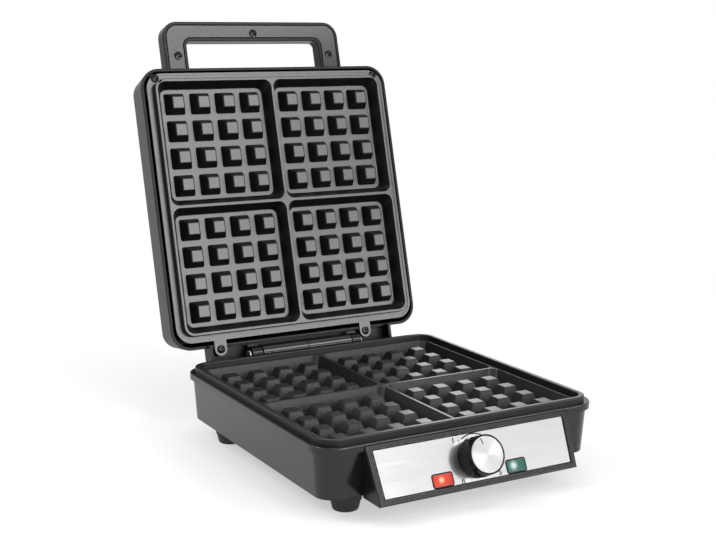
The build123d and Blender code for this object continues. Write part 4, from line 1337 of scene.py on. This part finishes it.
def build_finishes() -> dict[str, Material]:
    """Build the finish of every material slot in the record.

    Returns:
        Materials by slot.
    """
    polished = Coat.POLISHED
    recipes = {
        "body_plastic": MouldedPlastic("polished_abs_housing", "#0e0e0f", polished, 0.44),
        "lid_plastic": MouldedPlastic("satin_pbt_lid", "#0b0b0c", Coat.SATIN, 0.16),
        "handle_plastic": MouldedPlastic("polished_pbt_handle", "#141210", polished, 0.1),
        "insert_plastic": MouldedPlastic("polished_pbt_insert", "#1f1d1b", polished, 0.31),
        "pan_plastic": MouldedPlastic("matt_pp_pan", "#121213", Coat.MATT),
        "panel_plastic": MouldedPlastic("silk_abs_panel", "#0f0f10", Coat.SILK, 0.3),
        "nonstick_coating": NonstickCoating(),
        "brushed_fascia": BrushedSteel(),
        "knob_plastic": MouldedPlastic("polished_pf_knob", "#0b0b0c", polished, 0.12),
        "spun_cap": SpunAluminium(),
        "red_lens": LampWindow(Lens.RED),
        "green_lens": LampWindow(Lens.GREEN),
        "neon_glass": NeonGlass(),
        "foot_rubber": MouldedPlastic("moulded_nitrile_rubber", "#0e0e0e", Coat.MATT),
        "plated_steel": BareMetal("zinc_plated_steel", "#b9b9bc", "#a3a49c"),
        "black_steel": BakedEnamel(),
        "element_sheath": BareMetal("heat_tinted_alloy_sheath", "#8a7a68", "#59606c", 0.4),
        "reflector_sheet": BareMetal("rolled_aluminium_sheet", "#c9c9cc", "#bdbdc0", 0.28),
        "control_plastic": MouldedPlastic("moulded_steatite", "#cfc9b8", Coat.MATT),
        "lead_sleeve": BraidedSleeve(),
        "brass_parts": BareMetal("turned_brass", "#c8a45c", "#b08c48", 0.25),
    }
    return {slot: recipe.build() for slot, recipe in recipes.items()}


def survey(frame: dict) -> Appliance:
    """Read the working planes from the frame's joints and gather the finishes.


    Returns:
        The appliance that the sub-assemblies work on.
    """
    joints = {joint["name"]: joint for joint in frame["joints"]}
    lid, knob = joints["lid_hinge"], joints["knob_turn"]
    lean = math.radians(lid["range_deg"][1])
    normal = Vector((0, -math.sin(lean), -math.cos(lean)))
    upward = Vector((0, -math.cos(lean), math.sin(lean)))
    hinge_to_middle, hinge_before_face = 142.0 * MM, 5.5 * MM
    middle = Vector(lid["pos_m"]) + upward * hinge_to_middle - normal * hinge_before_face
    # A darker, less glossy copy of the coating, put on the grid plates' steep walls and rounded edges
    # as painted shade.
    shaded_wall_coat = NonstickCoating("shaded_nonstick_coating", "#060606", "#0e0e0f", 0.35, 0.45)
    return Appliance(
        frame=frame,
        finishes=build_finishes(),
        shaded_wall_coat=shaded_wall_coat.build(),
        ink=PrintedInk().build(),
        slots={part["node"]: part["material_slot"] for part in frame["record"]["subparts"]},
        lid_face=Sheet(middle, ALONG_X, normal),
        panel_face=Sheet(Vector(knob["pos_m"]), ALONG_X, Vector(knob["axis"])),
    )


def main() -> None:
    """Dress the nodes, build the sub-assemblies and the studio, and report each piece."""
    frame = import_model()
    kit = survey(frame)
    kit.dress_all()
    for assembly in (Base(kit), Hinge(kit), Lid(kit), Handle(kit), ControlPanel(kit), Knob(kit)):
        assembly.build()
        log.info("%s: %d pieces", type(assembly).__name__, len(assembly.made))
    low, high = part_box("lower_grid_plate")
    Studio((low.y + high.y) / 2).build()


if __name__ == "__main__":
    logging.basicConfig(level=logging.INFO)
    main()
